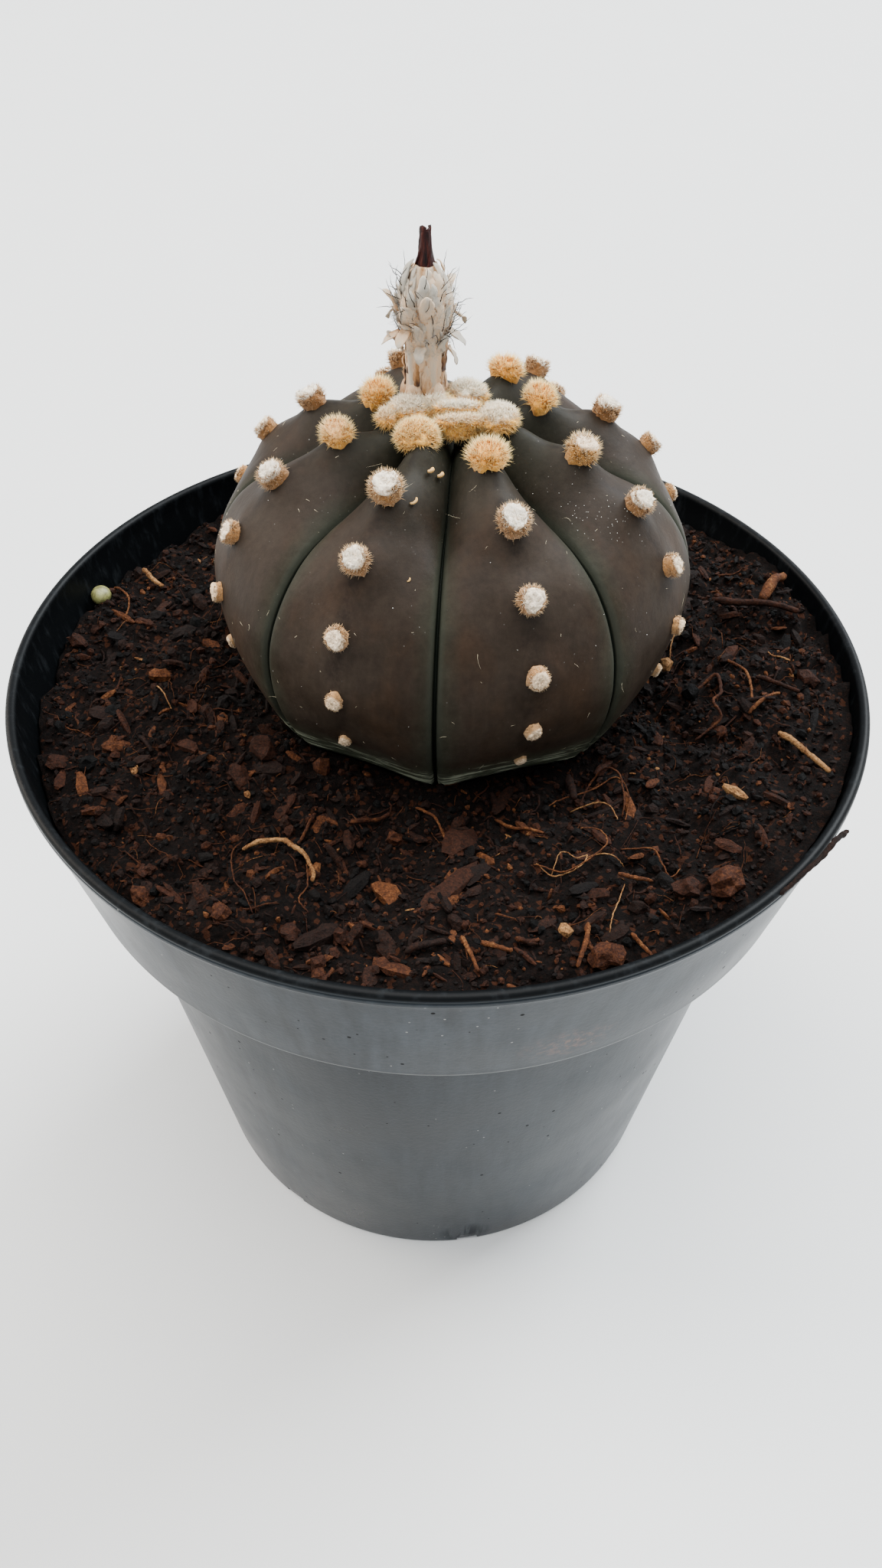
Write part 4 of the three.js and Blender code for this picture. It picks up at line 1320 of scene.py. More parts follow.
@dataclass
class Flower:
    """The spent flower: tan tube, papery woolly scales, dark bristles and twisted dry petals."""

    x: float = -2.5
    y: float = 10.8
    base: float = 143.9
    tube: tuple[tuple[float, float], ...] = (
        (0, 2.9), (2.6, 3.1), (4.6, 2.7), (8, 2.75), (11.5, 3.0),
        (14.5, 3.7), (17, 3.3), (19, 2.3), (20.6, 1.4),
    )
    foot_lobes: tuple[tuple[float, float], ...] = (
        (-125, 1.75), (-55, 1.8), (20, 1.6), (95, 1.6), (170, 1.6),
    )
    lobe_reach: float = 1.95
    lobe_lift: float = 2.8
    lobe_stretch: float = 1.6
    bristles: int = 80
    wool: int = 900
    petals: int = 7
    tip_base: float = 17.7
    tip_length: float = 7.8
    tip_profile: tuple[float, ...] = (2.4, 1.95, 1.45, 1.12, 1.0, 0.95)

    @property
    def foot(self) -> Array:
        """Middle of the tube's foot."""
        return np.array([self.x, self.y, self.base])

    def radius(self, height: Array) -> Array:
        """Radius of the tube at a height above its foot."""
        return np.interp(height, *np.array(self.tube).T)

    def core(self) -> Surface:
        """The tube: its outline smoothed and carried round, with soft folds down its length."""
        line = spline(self.tube, np.linspace(0, 1, 48))[0][::-1]
        turn = around(48)[None]
        fold = 1 + 0.055 * np.sin(turn * 5 + 0.9) + 0.03 * np.sin(turn * 11 + line[:, :1] * 0.3)
        reach = line[:, 1:] * fold
        rings = carried_round(reach, line[:, :1], turn) + self.foot
        shape = lattice(rings, self.foot + (0, 0, line[0, 0]), self.foot)
        height = shape.points[:, 2] - self.base
        crease = np.append((fold + 0 * line[:, :1]).ravel(), [1, 1]) - 1
        # rusty at the foot, paler up the tube, and a little darker above 8 mm: painted shade in the gaps
        # between the scales
        tone = 0.26 + 0.24 * smooth(height, 1, 5) - 0.06 * smooth(height, 8, 11)
        # darker in the folds' hollows and paler on their ridges: painted shade and light
        return shape.tagged(tone=tone + 2.2 * crease)

    def lobes(self) -> Surface:
        """Swollen rusty lobes round the tube's foot: ellipsoids stretched up it."""
        ball = sphere_rings(10, 16)
        parts = []
        for heading, size in self.foot_lobes:
            middle = self.foot + level(math.radians(heading)) * self.lobe_reach + (0, 0, self.lobe_lift)
            tall = size * self.lobe_stretch
            part = lattice(ball * (size, size, tall) + middle, middle + (0, 0, tall), middle - (0, 0, tall))
            # each lobe painted darker below and paler on top: painted shade and light
            parts.append(part.tagged(tone=0.26 + 0.07 * (part.points[:, 2] - middle[2])))
        return joined(parts)

    @staticmethod
    def blade(length: float, width: float, lean: float, curl: float, tone: float, cup: float) -> Surface:
        """One scale: a thin oval section that narrows to a point along a line bending outwards.

        Along its length u from 0 to 1 the half width is width / 2 * (1 - u)^0.7 * (0.6 + u), the line
        leans by `lean` and curls by `curl` u squared, and the section is cupped towards the tube.

        Args:
            length: from foot to tip.
            width: at its widest.
            lean: outward lean at the foot, in radians.
            curl: further lean at the tip, in radians.
            tone: paleness, 0 to 1.
            cup: how strongly its edges fold in.

        Returns:
            The scale in its own frame: X out from the tube, Z up, foot at the origin.
        """
        u = np.linspace(0, 0.985, 10)
        angle = lean + curl * u**2
        step = length / len(u)
        line = np.stack([np.cumsum(np.sin(angle)) * step, 0 * u, np.cumsum(np.cos(angle)) * step], -1)
        out = np.stack([np.cos(angle), 0 * u, -np.sin(angle)], -1)
        half = (width / 2 * (1 - u) ** 0.7 * (0.6 + u))[:, None]
        turn = around(8)
        over = np.sin(turn) * 0.13 * (1 - 0.5 * u)[:, None] - cup * np.cos(turn) ** 2 * half**1.3
        across = (np.cos(turn) * half)[..., None] * (0, 1, 0)
        rings = line[:, None] + across + out[:, None] * over[..., None]
        shape = lattice(rings[::-1], line[-1] + 0.06 * out[-1], line[0] - 0.1 * out[0])
        # darker at the scale's foot and along its in-folded edges as painted shade where scales overlap,
        # paler towards the tip
        ring_tone = tone + 0.36 * (u - 0.6)[:, None] - 0.2 * np.cos(turn) ** 2
        return shape.tagged(tone=np.append(ring_tone[::-1].ravel(), [tone, tone - 0.3]))

    def coat(self, rng: Rng) -> Surface:
        """All the scales, kind by kind up the tube, each a golden turn on from the last."""
        parts = []
        for coat in Coat:
            count, (low, high), length, width, lean, curl, uneven, tone = coat.value
            for n in range(count):
                lift = low + (high - low) * (n + rng.uniform(0, 1)) / count
                slope = math.atan((self.radius(lift + length * 0.8) - self.radius(lift)) / (length * 0.8))
                slope *= float(lean < 0.2)
                shape = self.blade(
                    length * rng.uniform(0.8, 1.1),
                    width * rng.uniform(0.85, 1.15),
                    lean + 0.3 * slope + rng.normal(0, uneven),
                    curl + 2.1 * slope + rng.normal(0, 2 * uneven),
                    tone + rng.normal(0, 0.14),
                    rng.uniform(0.2, 0.45),
                )
                shape.points += 0.24 * ripple(shape.points, 1.5, n)[:, None] * (1, 0.7, 0.3)
                turn = spun(n * GOLDEN_TURN + rng.normal(0, 0.15))
                shape.points = (shape.points + (self.radius(lift) - 0.05, 0, lift)) @ turn + self.foot
                parts.append(shape)
        return joined(parts)

    def strands(
        self, rng: Rng, count: int, lifts: tuple[float, float], length: float, radius: float, rise: float,
        curl: float,
    ) -> Surface:
        """Fine strands out of the coat, each wandering along its own random curve.

        Args:
            rng: source of the random draws.
            count: how many strands.
            lifts: lowest and highest start above the foot.
            length: mean length.
            radius: thickness at the root.
            rise: how steeply they start, as upward for each unit outward.
            curl: how strongly each step turns.

        Returns:
            The strands as one surface.
        """
        steps = 7
        lift, turn = rng.uniform(*lifts, count), rng.uniform(0, TAU, count)
        start = carried_round(self.radius(lift) + 0.25, lift, turn) + self.foot
        heading = unit(carried_round(1, rise * rng.uniform(0.3, 1.6, count), turn))
        walk = rng.normal(0, curl, (count, steps, 3)).cumsum(1)
        moves = unit(heading[:, None] + walk) * (length * rng.uniform(0.5, 1.2, (count, 1, 1)) / steps)
        path = np.concatenate([start[:, None], start[:, None] + moves.cumsum(1)], 1)
        taper = 1 - 0.7 * np.linspace(0, 1, steps + 1)
        return tubes(path, radius * taper * rng.uniform(0.7, 1.2, (count, 1)), 3)

    def corolla(self, rng: Rng) -> Surface:
        """The dry petals: narrow blades laid round the axis, twisted, waisted and ragged on top."""
        parts = []
        t = np.linspace(0, 1, 18)
        profile = spline([[r] for r in self.tip_profile], t)[0][:, 0]
        ring = around(8)
        for n in range(self.petals):
            turn = n / self.petals * TAU + 2.2 * t + rng.normal(0, 0.12) + 0.25 * np.sin(t * 7 + n)
            out, side = level(turn), level(turn + math.pi / 2)
            height = t * self.tip_length * rng.uniform(0.84, 1.0)
            width = profile * (0.62 - 0.1 * t) * (1 + 0.15 * np.sin(t * 9 + 2 * n))
            axis = out * (profile * 0.62)[:, None] + height[:, None] * (0, 0, 1)
            across = side[:, None] * (np.cos(ring) * width[:, None])[..., None]
            thick = out[:, None] * (np.sin(ring) * width[:, None] * 0.36)[..., None]
            rings = axis[:, None] + across + thick
            top = axis[-1] + (rng.normal(0, 0.15), rng.normal(0, 0.15), 0.25)
            shape = lattice(rings[::-1], top, axis[0])
            parts.append(shape.tagged(foot=1 - shape.points[:, 2] / self.tip_length * 2.2))
        shape = joined(parts)
        shape.points = shape.points + self.foot + (0, 0, self.tip_base)
        return shape

    def build(self) -> None:
        """Makes the tube with its lobes and scales, the wool, the bristles and the petals."""
        rng = np.random.default_rng(8)
        dry = DryScale().make()
        body = joined([self.core(), self.lobes(), self.coat(rng)])
        add_piece("flower_scales", body, dry, ["flower_tube"])
        wool = self.strands(rng, self.wool, (9.5, 18.6), 1.6, 0.03, 0.6, 0.4)
        add_piece("flower_wool", wool.tagged(tone=0.95), dry)
        spikes = self.strands(rng, self.bristles, (11, 18.4), 3.8, 0.085, 1.8, 0.22)
        add_piece("flower_bristles", spikes, Bristle().make())
        add_piece("flower_petals", self.corolla(rng), DryPetal().make(), ["flower_tip"])


# ---- Soil ----
class Tone(float, Enum):
    """Paleness of litter, from black peat to pale root."""

    BARK = 0.46
    DARK_RUST = 0.58
    RUST = 0.68
    ORANGE = 0.78
    TAN = 0.93


@dataclass(frozen=True)
class Strand:
    """A root or stick on the soil: its course, radius, tone, its middle's arch and its lift."""

    course: tuple[tuple[float, float], ...]
    radius: float
    tone: Tone = Tone.TAN
    arch: float = 0.6
    lift: float = 0.3


@dataclass(frozen=True)
class Flake:
    """A chip of bark: its middle, half sizes, heading in degrees, tone, tilt in radians and lift."""

    x: float
    y: float
    size: tuple[float, float, float]
    heading: float
    tone: Tone
    tilt: float = 0.1
    lift: float = 0.5


STRANDS = (
    Strand(((-26.3, -36.5), (-23.6, -36.1), (-20.8, -36.1), (-19.1, -38.2), (-17.3, -39.6), (-16.1, -41.9),
            (-16.1, -43.5)), 0.42, Tone.TAN, 1.4),
    Strand(((-17.3, -39.6), (-16.6, -44.6), (-17.4, -47.5), (-16.4, -49.0)), 0.12, Tone.ORANGE, 0.9),
    Strand(((-26.5, -35.2), (-27.6, -37.9), (-26.5, -43.1), (-24.6, -46.5), (-23.0, -49.9)), 0.11,
           Tone.RUST, 0.8),
    Strand(((-16.9, -29.9), (-18.9, -36.0)), 0.3, Tone.RUST, 0.3),
    Strand(((-11.9, -31.9), (-9.6, -30.9), (-6.5, -28.4)), 0.42, Tone.RUST, 0.3),
    Strand(((-2.9, -27.4), (-0.3, -29.3), (1.4, -33.0)), 0.24, Tone.ORANGE, 0.5),
    Strand(((8.4, -29.0), (11.7, -32.6), (15.1, -34.2)), 0.28, Tone.ORANGE, 0.6),
    Strand(((-3.4, -56.4), (1.6, -54.9)), 0.6, Tone.BARK, 0.1),
    Strand(((3.5, -53.9), (4.4, -56.3), (5.5, -59.5)), 0.36, Tone.ORANGE, 0.5),
    Strand(((5.9, -54.8), (9.8, -56.3)), 0.42, Tone.ORANGE, 0.2, 0.6),
    Strand(((10.2, -54.3), (13.3, -53.3)), 0.4, Tone.RUST, 0.2),
    Strand(((8.9, -61.0), (11.8, -61.6)), 0.3, Tone.ORANGE, 0.1, 0.6),
    Strand(((-13.6, -60.2), (-12.2, -57.6)), 0.35, Tone.RUST, 0.1),
    Strand(((15.9, -27.6), (18.7, -26.1), (22.0, -25.4), (25.5, -24.0), (27.3, -26.9), (26.2, -31.9)), 0.13,
           Tone.ORANGE, 2.2),
    Strand(((20.5, -26.5), (22.3, -22.9), (24.0, -22.3), (25.9, -24.6), (26.3, -28.5), (25.9, -31.0)), 0.17,
           Tone.RUST, 3.2),
    Strand(((19.2, -27.4), (22.4, -27.8), (24.3, -29.6), (25.2, -31.8)), 0.12, Tone.TAN, 1.6),
    Strand(((13.2, -39.8), (15.7, -41.4), (17.5, -42.5), (20.1, -41.2), (22.9, -38.2), (22.2, -34.8),
            (19.7, -33.7)), 0.13, Tone.ORANGE, 1.6),
    Strand(((13.6, -39.8), (15.5, -41.9), (18.0, -42.3), (19.6, -41.1), (20.2, -39.6), (18.7, -40.2),
            (17.6, -38.8), (16.5, -39.2), (15.5, -41.6)), 0.1, Tone.TAN, 1.2),
    Strand(((25.0, -37.5), (29.0, -38.2), (30.1, -40.7), (30.9, -42.7), (32.6, -41.0)), 0.13,
           Tone.ORANGE, 1.0),
    Strand(((20.3, -39.2), (23.7, -39.9), (25.2, -40.6)), 0.1, Tone.TAN, 0.8),
    Strand(((24.7, -44.7), (22.6, -50.3), (21.8, -53.6)), 0.1, Tone.TAN, 0.8),
    Strand(((23.8, -43.6), (28.4, -44.3)), 0.34, Tone.ORANGE, 0.2, 0.8),
    Strand(((19.4, -51.5), (18.9, -54.5), (17.5, -58.5)), 0.4, Tone.ORANGE, 0.2, 0.8),
    Strand(((19.0, -54.0), (20.6, -57.0)), 0.3, Tone.RUST, 0.1, 0.7),
    Strand(((24.6, -53.2), (27.1, -55.9)), 0.32, Tone.ORANGE, 0.2),
    Strand(((39.6, -4.6), (42.8, -2.6), (43.1, -6.5), (41.5, -8.8), (42.6, -11.0), (38.7, -13.3)), 0.3,
           Tone.RUST, 1.4, 0.8),
    Strand(((44.5, 3.0), (47.7, -2.1), (47.5, -8.6)), 0.28, Tone.ORANGE, 0.8),
    Strand(((46.5, -11.1), (51.8, -7.2)), 0.34, Tone.ORANGE, 0.2, 0.8),
    Strand(((49.8, -16.5), (52.6, -20.4), (55.4, -25.1)), 0.55, Tone.TAN, 0.2, 0.9),
    Strand(((45.2, -8.9), (50.6, -9.4)), 0.4, Tone.BARK, 0.1, 0.9),
    Strand(((48.9, -3.3), (55.1, -6.6)), 0.45, Tone.DARK_RUST, 0.1, 0.9),
    Strand(((45.4, 15.9), (51.5, 13.6), (57.9, 10.4)), 0.7, Tone.DARK_RUST, 0.1, 1.2),
    Strand(((39.9, 11.0), (38.9, 10.9), (37.3, 6.4), (37.0, 4.0)), 0.16, Tone.TAN, 1.5, 0.8),
    Strand(((54.8, 0.4), (53.0, 1.9), (52.0, 3.9)), 0.16, Tone.TAN, 0.4),
    Strand(((-56.3, 22.6), (-53.6, 19.4), (-52.3, 17.3), (-52.6, 14.1)), 0.22, Tone.ORANGE, 1.4),
    Strand(((-51.6, 26.1), (-47.7, 22.9)), 0.5, Tone.TAN, 0.2, 0.9),
    Strand(((-44.4, -2.5), (-42.7, -5.2), (-41.1, -7.8)), 0.13, Tone.TAN, 1.0),
    Strand(((-44.4, -15.1), (-42.0, -18.4)), 0.4, Tone.BARK, 0.2),
    Strand(((19.1, -22.0), (19.4, -24.5), (19.5, -27.0)), 0.75, Tone.BARK, 0.2, 1.6),
    Strand(((52.5, 14.1), (55.5, 18.8), (58.0, 22.2)), 0.95, Tone.ORANGE, 0.2, 1.2),
    Strand(((54.3, -37.8), (52.6, -39.6), (49.9, -42.6), (46.2, -46.0), (43.6, -48.0)), 0.45,
           Tone.BARK, 0.3, 2.6),
)

FLAKES = (
    Flake(-5.9, -44.8, (3.0, 1.25, 0.8), -45, Tone.ORANGE, 0.15, 0.9),
    Flake(1.8, -45.0, (6.3, 1.15, 0.6), 51, Tone.DARK_RUST, 0.1, 1.0),
    Flake(-5.7, -33.4, (1.2, 1.1, 1.1), 0, Tone.RUST, 0.2, 0.8),
    Flake(3.4, -34.0, (3.6, 2.5, 1.6), 60, Tone.DARK_RUST, 0.3, 0.9),
    Flake(-14.8, -52.4, (3.4, 1.0, 0.8), 36, Tone.BARK, 0.1, 0.8),
    Flake(-6.4, -57.0, (1.3, 1.1, 0.6), 20, Tone.RUST, 0.2, 0.8),
    Flake(37.6, -45.4, (3.0, 2.3, 2.2), 40, Tone.RUST, 0.3, 1.2),
    Flake(32.5, -46.3, (2.3, 1.8, 1.8), 10, Tone.DARK_RUST, 0.3, 1.0),
    Flake(16.4, -52.8, (0.9, 0.8, 0.5), 20, Tone.TAN, 0.3, 1.1),
    Flake(21.4, -56.4, (2.8, 1.9, 1.6), 10, Tone.RUST, 0.2, 1.0),
    Flake(-26.9, -50.7, (1.5, 1.3, 1.3), 30, Tone.RUST, 0.3, 0.9),
    Flake(-18.1, -52.1, (1.8, 1.4, 1.2), 70, Tone.DARK_RUST, 0.3, 0.7),
    Flake(-44.5, 0.6, (1.8, 1.0, 0.9), 10, Tone.ORANGE, 0.2, 1.0),
    Flake(-59.2, 8.2, (1.9, 1.4, 1.2), -20, Tone.DARK_RUST, 0.3, 0.8),
    Flake(-51.0, -10.6, (2.1, 1.1, 0.8), -10, Tone.BARK, 0.2, 0.8),
    Flake(-55.8, -19.9, (2.0, 1.5, 1.0), -20, Tone.DARK_RUST, 0.2, 0.7),
    Flake(-38.2, -46.2, (1.9, 1.2, 1.0), -40, Tone.RUST, 0.3, 0.8),
    Flake(-25.8, -17.5, (2.6, 2.0, 1.6), -40, Tone.DARK_RUST, 0.2, 0.6),
    Flake(-28.6, -21.7, (2.8, 1.8, 1.6), -50, Tone.DARK_RUST, 0.2, 0.6),
    Flake(56.9, -3.2, (2.1, 1.5, 1.2), -30, Tone.DARK_RUST, 0.2, 0.9),
    Flake(36.1, 2.7, (1.1, 0.8, 0.9), 60, Tone.TAN, 0.4, 1.6),
    Flake(27.4, -28.6, (3.0, 0.6, 0.5), -80, Tone.ORANGE, 0.2, 0.8),
    Flake(41.4, -28.8, (2.0, 0.6, 0.5), -30, Tone.TAN, 0.2, 0.8),
)


@dataclass
class Soil:
    """Bark soil: a crumbly bed with loose crumbs, chips of bark, sticks and root fibres on it."""

    pot: Pot
    stem: Stem
    centre_drop: float = 7.6
    edge_drop: float = 4.5
    edge_tilt: float = 3.0
    high_side: float = math.radians(-25)
    gap: float = 0.35
    columns: int = 360
    rows: int = 100
    moat: float = 1.1
    wall_clearance: float = 3.0
    rim_margin: float = 2.4
    bed_radius: float = 62.0
    fibre_reach: float = 61.5
    stem_foot: float = 30.2
    crumbs: int = 8000
    grains_count: int = 2800
    big_lumps: int = 120
    chips: int = 1500
    fibres: int = 900
    fibre_sides: int = 4
    shapes: int = 8

    def surface(self, x: Array, y: Array) -> Array:
        """Height of the soil: it rises to the wall, dips just inside it, and is lumpy at four sizes."""
        edge = self.edge_drop - self.edge_tilt * np.cos(np.arctan2(y, x) - self.high_side)
        outward = smooth(np.hypot(x, y), 28, self.pot.rim_radius - self.pot.lip_thickness)
        ground = self.stem.rim - (self.centre_drop + (edge - self.centre_drop) * outward)
        ground -= self.moat * smooth(np.hypot(x, y), 58.5, 62.5)
        clear = smooth(np.hypot(x - self.stem.x, y - self.stem.y), 31, 36)
        rough = lumps(x / 7 + 9, y / 7 + 4) * 1.5 + lumps(x / 2.6, y / 2.6 + 7) * 0.9
        rough += lumps(x / 1.1 + 3, y / 1.1) * 0.45 + lumps(x / 0.55, y / 0.55 + 5) * 0.2
        return ground + rough * (0.25 + 0.75 * clear)

    def bed(self) -> Surface:
        """The bed: from a pole under the root up its hole, out over the top, down the wall, to the axis."""
        stem, pot = self.stem, self.pot
        turn = around(self.columns)
        hole = stem.skin(turn[None], np.linspace(1.97, 1.02, 13)[:, None], swell=0.3, fine=False)[0]
        out = level(stem.direction(turn))
        reach = pot.inner_radius(self.surface(*(self.bed_radius * out[:, :2]).T)) - self.gap
        share = np.linspace(0, 1, self.rows)[1:, None, None]
        flat = hole[-1:, :, :2] * (1 - share) + (out[None, :, :2] * reach[:, None]) * share
        top = np.concatenate([flat, self.surface(flat[..., 0], flat[..., 1])[..., None]], -1)
        foot = pot.height - pot.collar_height
        bottom = pot.floor_lift + pot.floor_thickness + 0.3
        section = [
            (pot.collar_foot_radius - pot.wall - self.gap, foot + pot.wall + 0.3),
            (pot.ledge_radius - pot.wall - self.gap, foot + 0.3),
            (pot.base_radius - pot.wall * 1.3 - self.gap, bottom),
            (pot.pad_radius + 1, bottom),
        ]
        down = np.stack([out * radius + (0, 0, height) for radius, height in section])
        under = (stem.x, stem.y, stem.rim + stem.root[-1][1] - 1)
        return lattice(np.concatenate([hole, top, down]), under, (0, 0, bottom))

    def places(self, rng: Rng, count: int, margin: float) -> Array:
        """Random places on the open soil, clear of the wall and of the plant's foot."""
        spot = level(rng.uniform(0, TAU, count * 3))[:, :2]
        reach = self.pot.rim_radius - self.rim_margin - margin
        spot *= np.sqrt(rng.uniform(0, 1, (count * 3, 1))) * reach
        away = np.hypot(*(spot - (self.stem.x, self.stem.y)).T)
        return spot[away > self.stem_foot + margin][:count]

    @staticmethod
    def pebble(rng: Rng, cuts: int) -> Surface:
        """A rough grain of radius 1: an icosahedron, cut finer or not, with its corners pulled about.

        Args:
            rng: source of the random draws.
            cuts: 0 for twenty faces, 1 for eighty.

        Returns:
            The grain.
        """
        lift, ring = 5**-0.5, 2 * 5**-0.5
        turn = around(5)
        high, low = carried_round(ring, lift, turn), carried_round(ring, -lift, turn + TAU / 10)
        points = np.concatenate([[(0, 0, 1)], high, low, [(0, 0, -1)]])
        i = np.arange(5)
        a, b, c, d = 1 + i, 1 + (i + 1) % 5, 6 + i, 6 + (i + 1) % 5
        cells = ((0 * i, a, b), (a, c, b), (b, c, d), (c, 0 * i + 11, d))
        faces = np.concatenate([np.stack(cell, -1) for cell in cells])
        for _ in range(cuts):
            edges = np.sort(np.concatenate([faces[:, [0, 1]], faces[:, [1, 2]], faces[:, [2, 0]]]), axis=1)
            pairs, back = np.unique(edges, axis=0, return_inverse=True)
            ab, bc, ca = len(points) + back.reshape(3, -1)
            points = np.concatenate([points, unit(points[pairs].mean(1))])
            a, b, c = faces.T
            cells = ((a, ab, ca), (ab, b, bc), (ca, bc, c), (ab, bc, ca))
            faces = np.concatenate([np.stack(cell, -1) for cell in cells])
        return Surface(points * rng.uniform(0.66, 1.12, (len(points), 1)), NO_QUADS, faces)

    @staticmethod
    def chip(rng: Rng) -> Surface:
        """A flake of bark from -1 to 1: a squarish section along a slightly bent line, with ragged ends."""
        rows, sides = 5, 6
        u = np.linspace(-0.96, 0.96, rows)[:, None]
        turn = (np.arange(sides) + 0.5) / sides * TAU
        rough = rng.uniform(0.78, 1.2, (rows, sides))
        taper = (1 - np.abs(u) ** 3.2) ** 0.5
        wide = np.sign(np.cos(turn)) * np.abs(np.cos(turn)) ** 0.6 * (taper + 0.15) * rough
        thick = np.sign(np.sin(turn)) * np.abs(np.sin(turn)) ** 0.7 * (taper + 0.2) * rough
        bend = rng.normal(0, 0.15, 2) * u**2
        along = u + rng.normal(0, 0.05, (rows, sides))
        rings = np.stack([along, wide + bend[:, :1], thick + 2 * bend[:, 1:]], -1)[::-1]
        return lattice(rings, rings[0].mean(0), rings[-1].mean(0))

    def strewn(
        self, rng: Rng, make: Callable[[], Surface], size: Array, tilt: float, sink: float,
        tones: dict[float, float],
    ) -> Surface:
        """Copies of a few random shapes strewn over the soil.

        Args:
            rng: source of the random draws.
            make: makes one shape.
            size: half sizes of each copy, shaped (copies, 3).
            tilt: largest tilt in radians.
            sink: how far its middle stands above the soil, as a share of its thickness.
            tones: tones and how likely each is.

        Returns:
            All the copies, with `tone`.
        """
        spots = self.places(rng, len(size), float(np.median(size)))
        size = size[: len(spots)]
        clear = np.hypot(*spots.T) + size.max(1) * 1.15 < self.pot.rim_radius - self.wall_clearance
        spots, size = spots[clear], size[clear]
        height = self.surface(*spots.T) + size[:, 2] * sink
        turns = random_turns(rng, len(spots), tilt) * size[:, None]
        tone = rng.choice(list(tones), len(spots), p=list(tones.values())) + rng.normal(0, 0.03, len(spots))
        places = np.column_stack([spots, height])
        kinds = np.arange(len(spots)) % self.shapes
        mine = [kinds == k for k in range(self.shapes)]
        return joined([scattered(make(), turns[own], places[own], tone=tone[own]) for own in mine])

    def grains(self, rng: Rng, count: int, small: float, large: float, cuts: int) -> Surface:
        """Loose grains, many near-black, the rest rust to a few tan."""
        radius = small + (large - small) * rng.uniform(0, 1, count) ** 2.2
        size = radius[:, None] * rng.uniform((0.8, 0.6, 0.5), (1.1, 1.0, 0.9), (count, 3))
        tones = {0.08: 0.22, 0.26: 0.24, 0.42: 0.24, 0.55: 0.19, 0.67: 0.09, 0.8: 0.02}
        return self.strewn(rng, lambda: self.pebble(rng, cuts), size, math.pi, 0.2, tones)

    def bark(self, rng: Rng) -> Surface:
        """Chips and splinters of bark lying at a slight tilt."""
        length = 0.5 + 2.3 * rng.uniform(0, 1, self.chips) ** 3.5
        size = length[:, None] * rng.uniform((0.8, 0.12, 0.07), (1.1, 0.4, 0.24), (self.chips, 3))
        tones = {0.22: 0.14, 0.4: 0.23, 0.52: 0.27, 0.62: 0.22, 0.74: 0.12, 0.88: 0.02}
        return self.strewn(rng, lambda: self.chip(rng), size, 0.6, 0.6, tones)

    def fibre(self, rng: Rng) -> Surface:
        """Fine root fibres and splinters that wander over the soil, arch a little and sag on to it."""
        steps = 6
        start = self.places(rng, self.fibres, 3)
        count = len(start)
        wander = rng.normal(0, 1, (count, steps)).cumsum(1) * rng.uniform(0.05, 0.5, (count, 1))
        angle = rng.uniform(0, TAU, (count, 1)) + wander
        step = (1.5 + 8 * rng.uniform(0, 1, (count, 1)) ** 2.2) / steps
        path = start[:, None] + np.stack([np.cos(angle) * step, np.sin(angle) * step], -1).cumsum(1)
        away = np.linalg.norm(path, axis=2, keepdims=True)
        path = path * np.minimum(away, self.fibre_reach) / away
        arch = np.sin(np.linspace(0, math.pi, steps)) * rng.uniform(0, 1.1, (count, 1)) ** 2
        height = self.surface(path[..., 0], path[..., 1]) + 0.15 + arch
        thick = rng.uniform(0, 1, (count, 1)) < 0.25
        radius = np.where(thick, rng.uniform(0.12, 0.26, (count, 1)), rng.uniform(0.04, 0.09, (count, 1)))
        tone = np.where(thick, rng.uniform(0.35, 0.74, (count, 1)), rng.uniform(0.45, 0.85, (count, 1)))
        taper = 1 - 0.6 * np.linspace(0, 1, steps)
        sides = self.fibre_sides
        shape = tubes(np.concatenate([path, height[..., None]], -1), radius * taper, sides)
        return shape.tagged(tone=np.repeat(tone, (steps - 1) * sides + 1))

    def laid(self, rng: Rng) -> Surface:
        """The sticks and roots that stand out: each a spline over the soil with its own arch."""
        parts = []
        for strand in STRANDS:
            steps = 5 + 6 * len(strand.course)
            t = np.linspace(0, 1, steps)
            flat = spline(strand.course, t)[0] + rng.normal(0, 0.03, (steps, 2))
            smoothed = np.convolve(np.pad(self.surface(*flat.T), 3, mode="edge"), np.ones(7) / 7, "valid")
            height = smoothed + strand.lift + strand.radius + strand.arch * np.sin(t * math.pi)
            taper = np.minimum(1, 0.55 + 3 * t) * (1 - 0.35 * t)
            radius = strand.radius * rng.uniform(0.85, 1.15, steps) * taper
            shape = tubes(np.column_stack([flat, height])[None], radius[None], 7)
            parts.append(shape.tagged(tone=strand.tone.value + 0.05 * np.sin(shape.points[:, 0] * 2)))
        return joined(parts)

    def flakes(self, rng: Rng) -> Surface:
        """The bark chips that stand out, each at its listed place."""
        parts = []
        for flake in FLAKES:
            shape = self.chip(rng) if flake.size[2] < 1 else self.pebble(rng, 1)
            c, s = math.cos(flake.tilt), math.sin(flake.tilt)
            turn = spun(math.radians(flake.heading)).T @ ((c, 0, s), (0, 1, 0), (-s, 0, c))
            spot = np.array([flake.x, flake.y])
            middle = np.append(spot, self.surface(*spot) + flake.lift)
            part = scattered(shape, (turn * np.array(flake.size))[None], middle[None])
            parts.append(part.tagged(tone=flake.tone.value))
        return joined(parts)

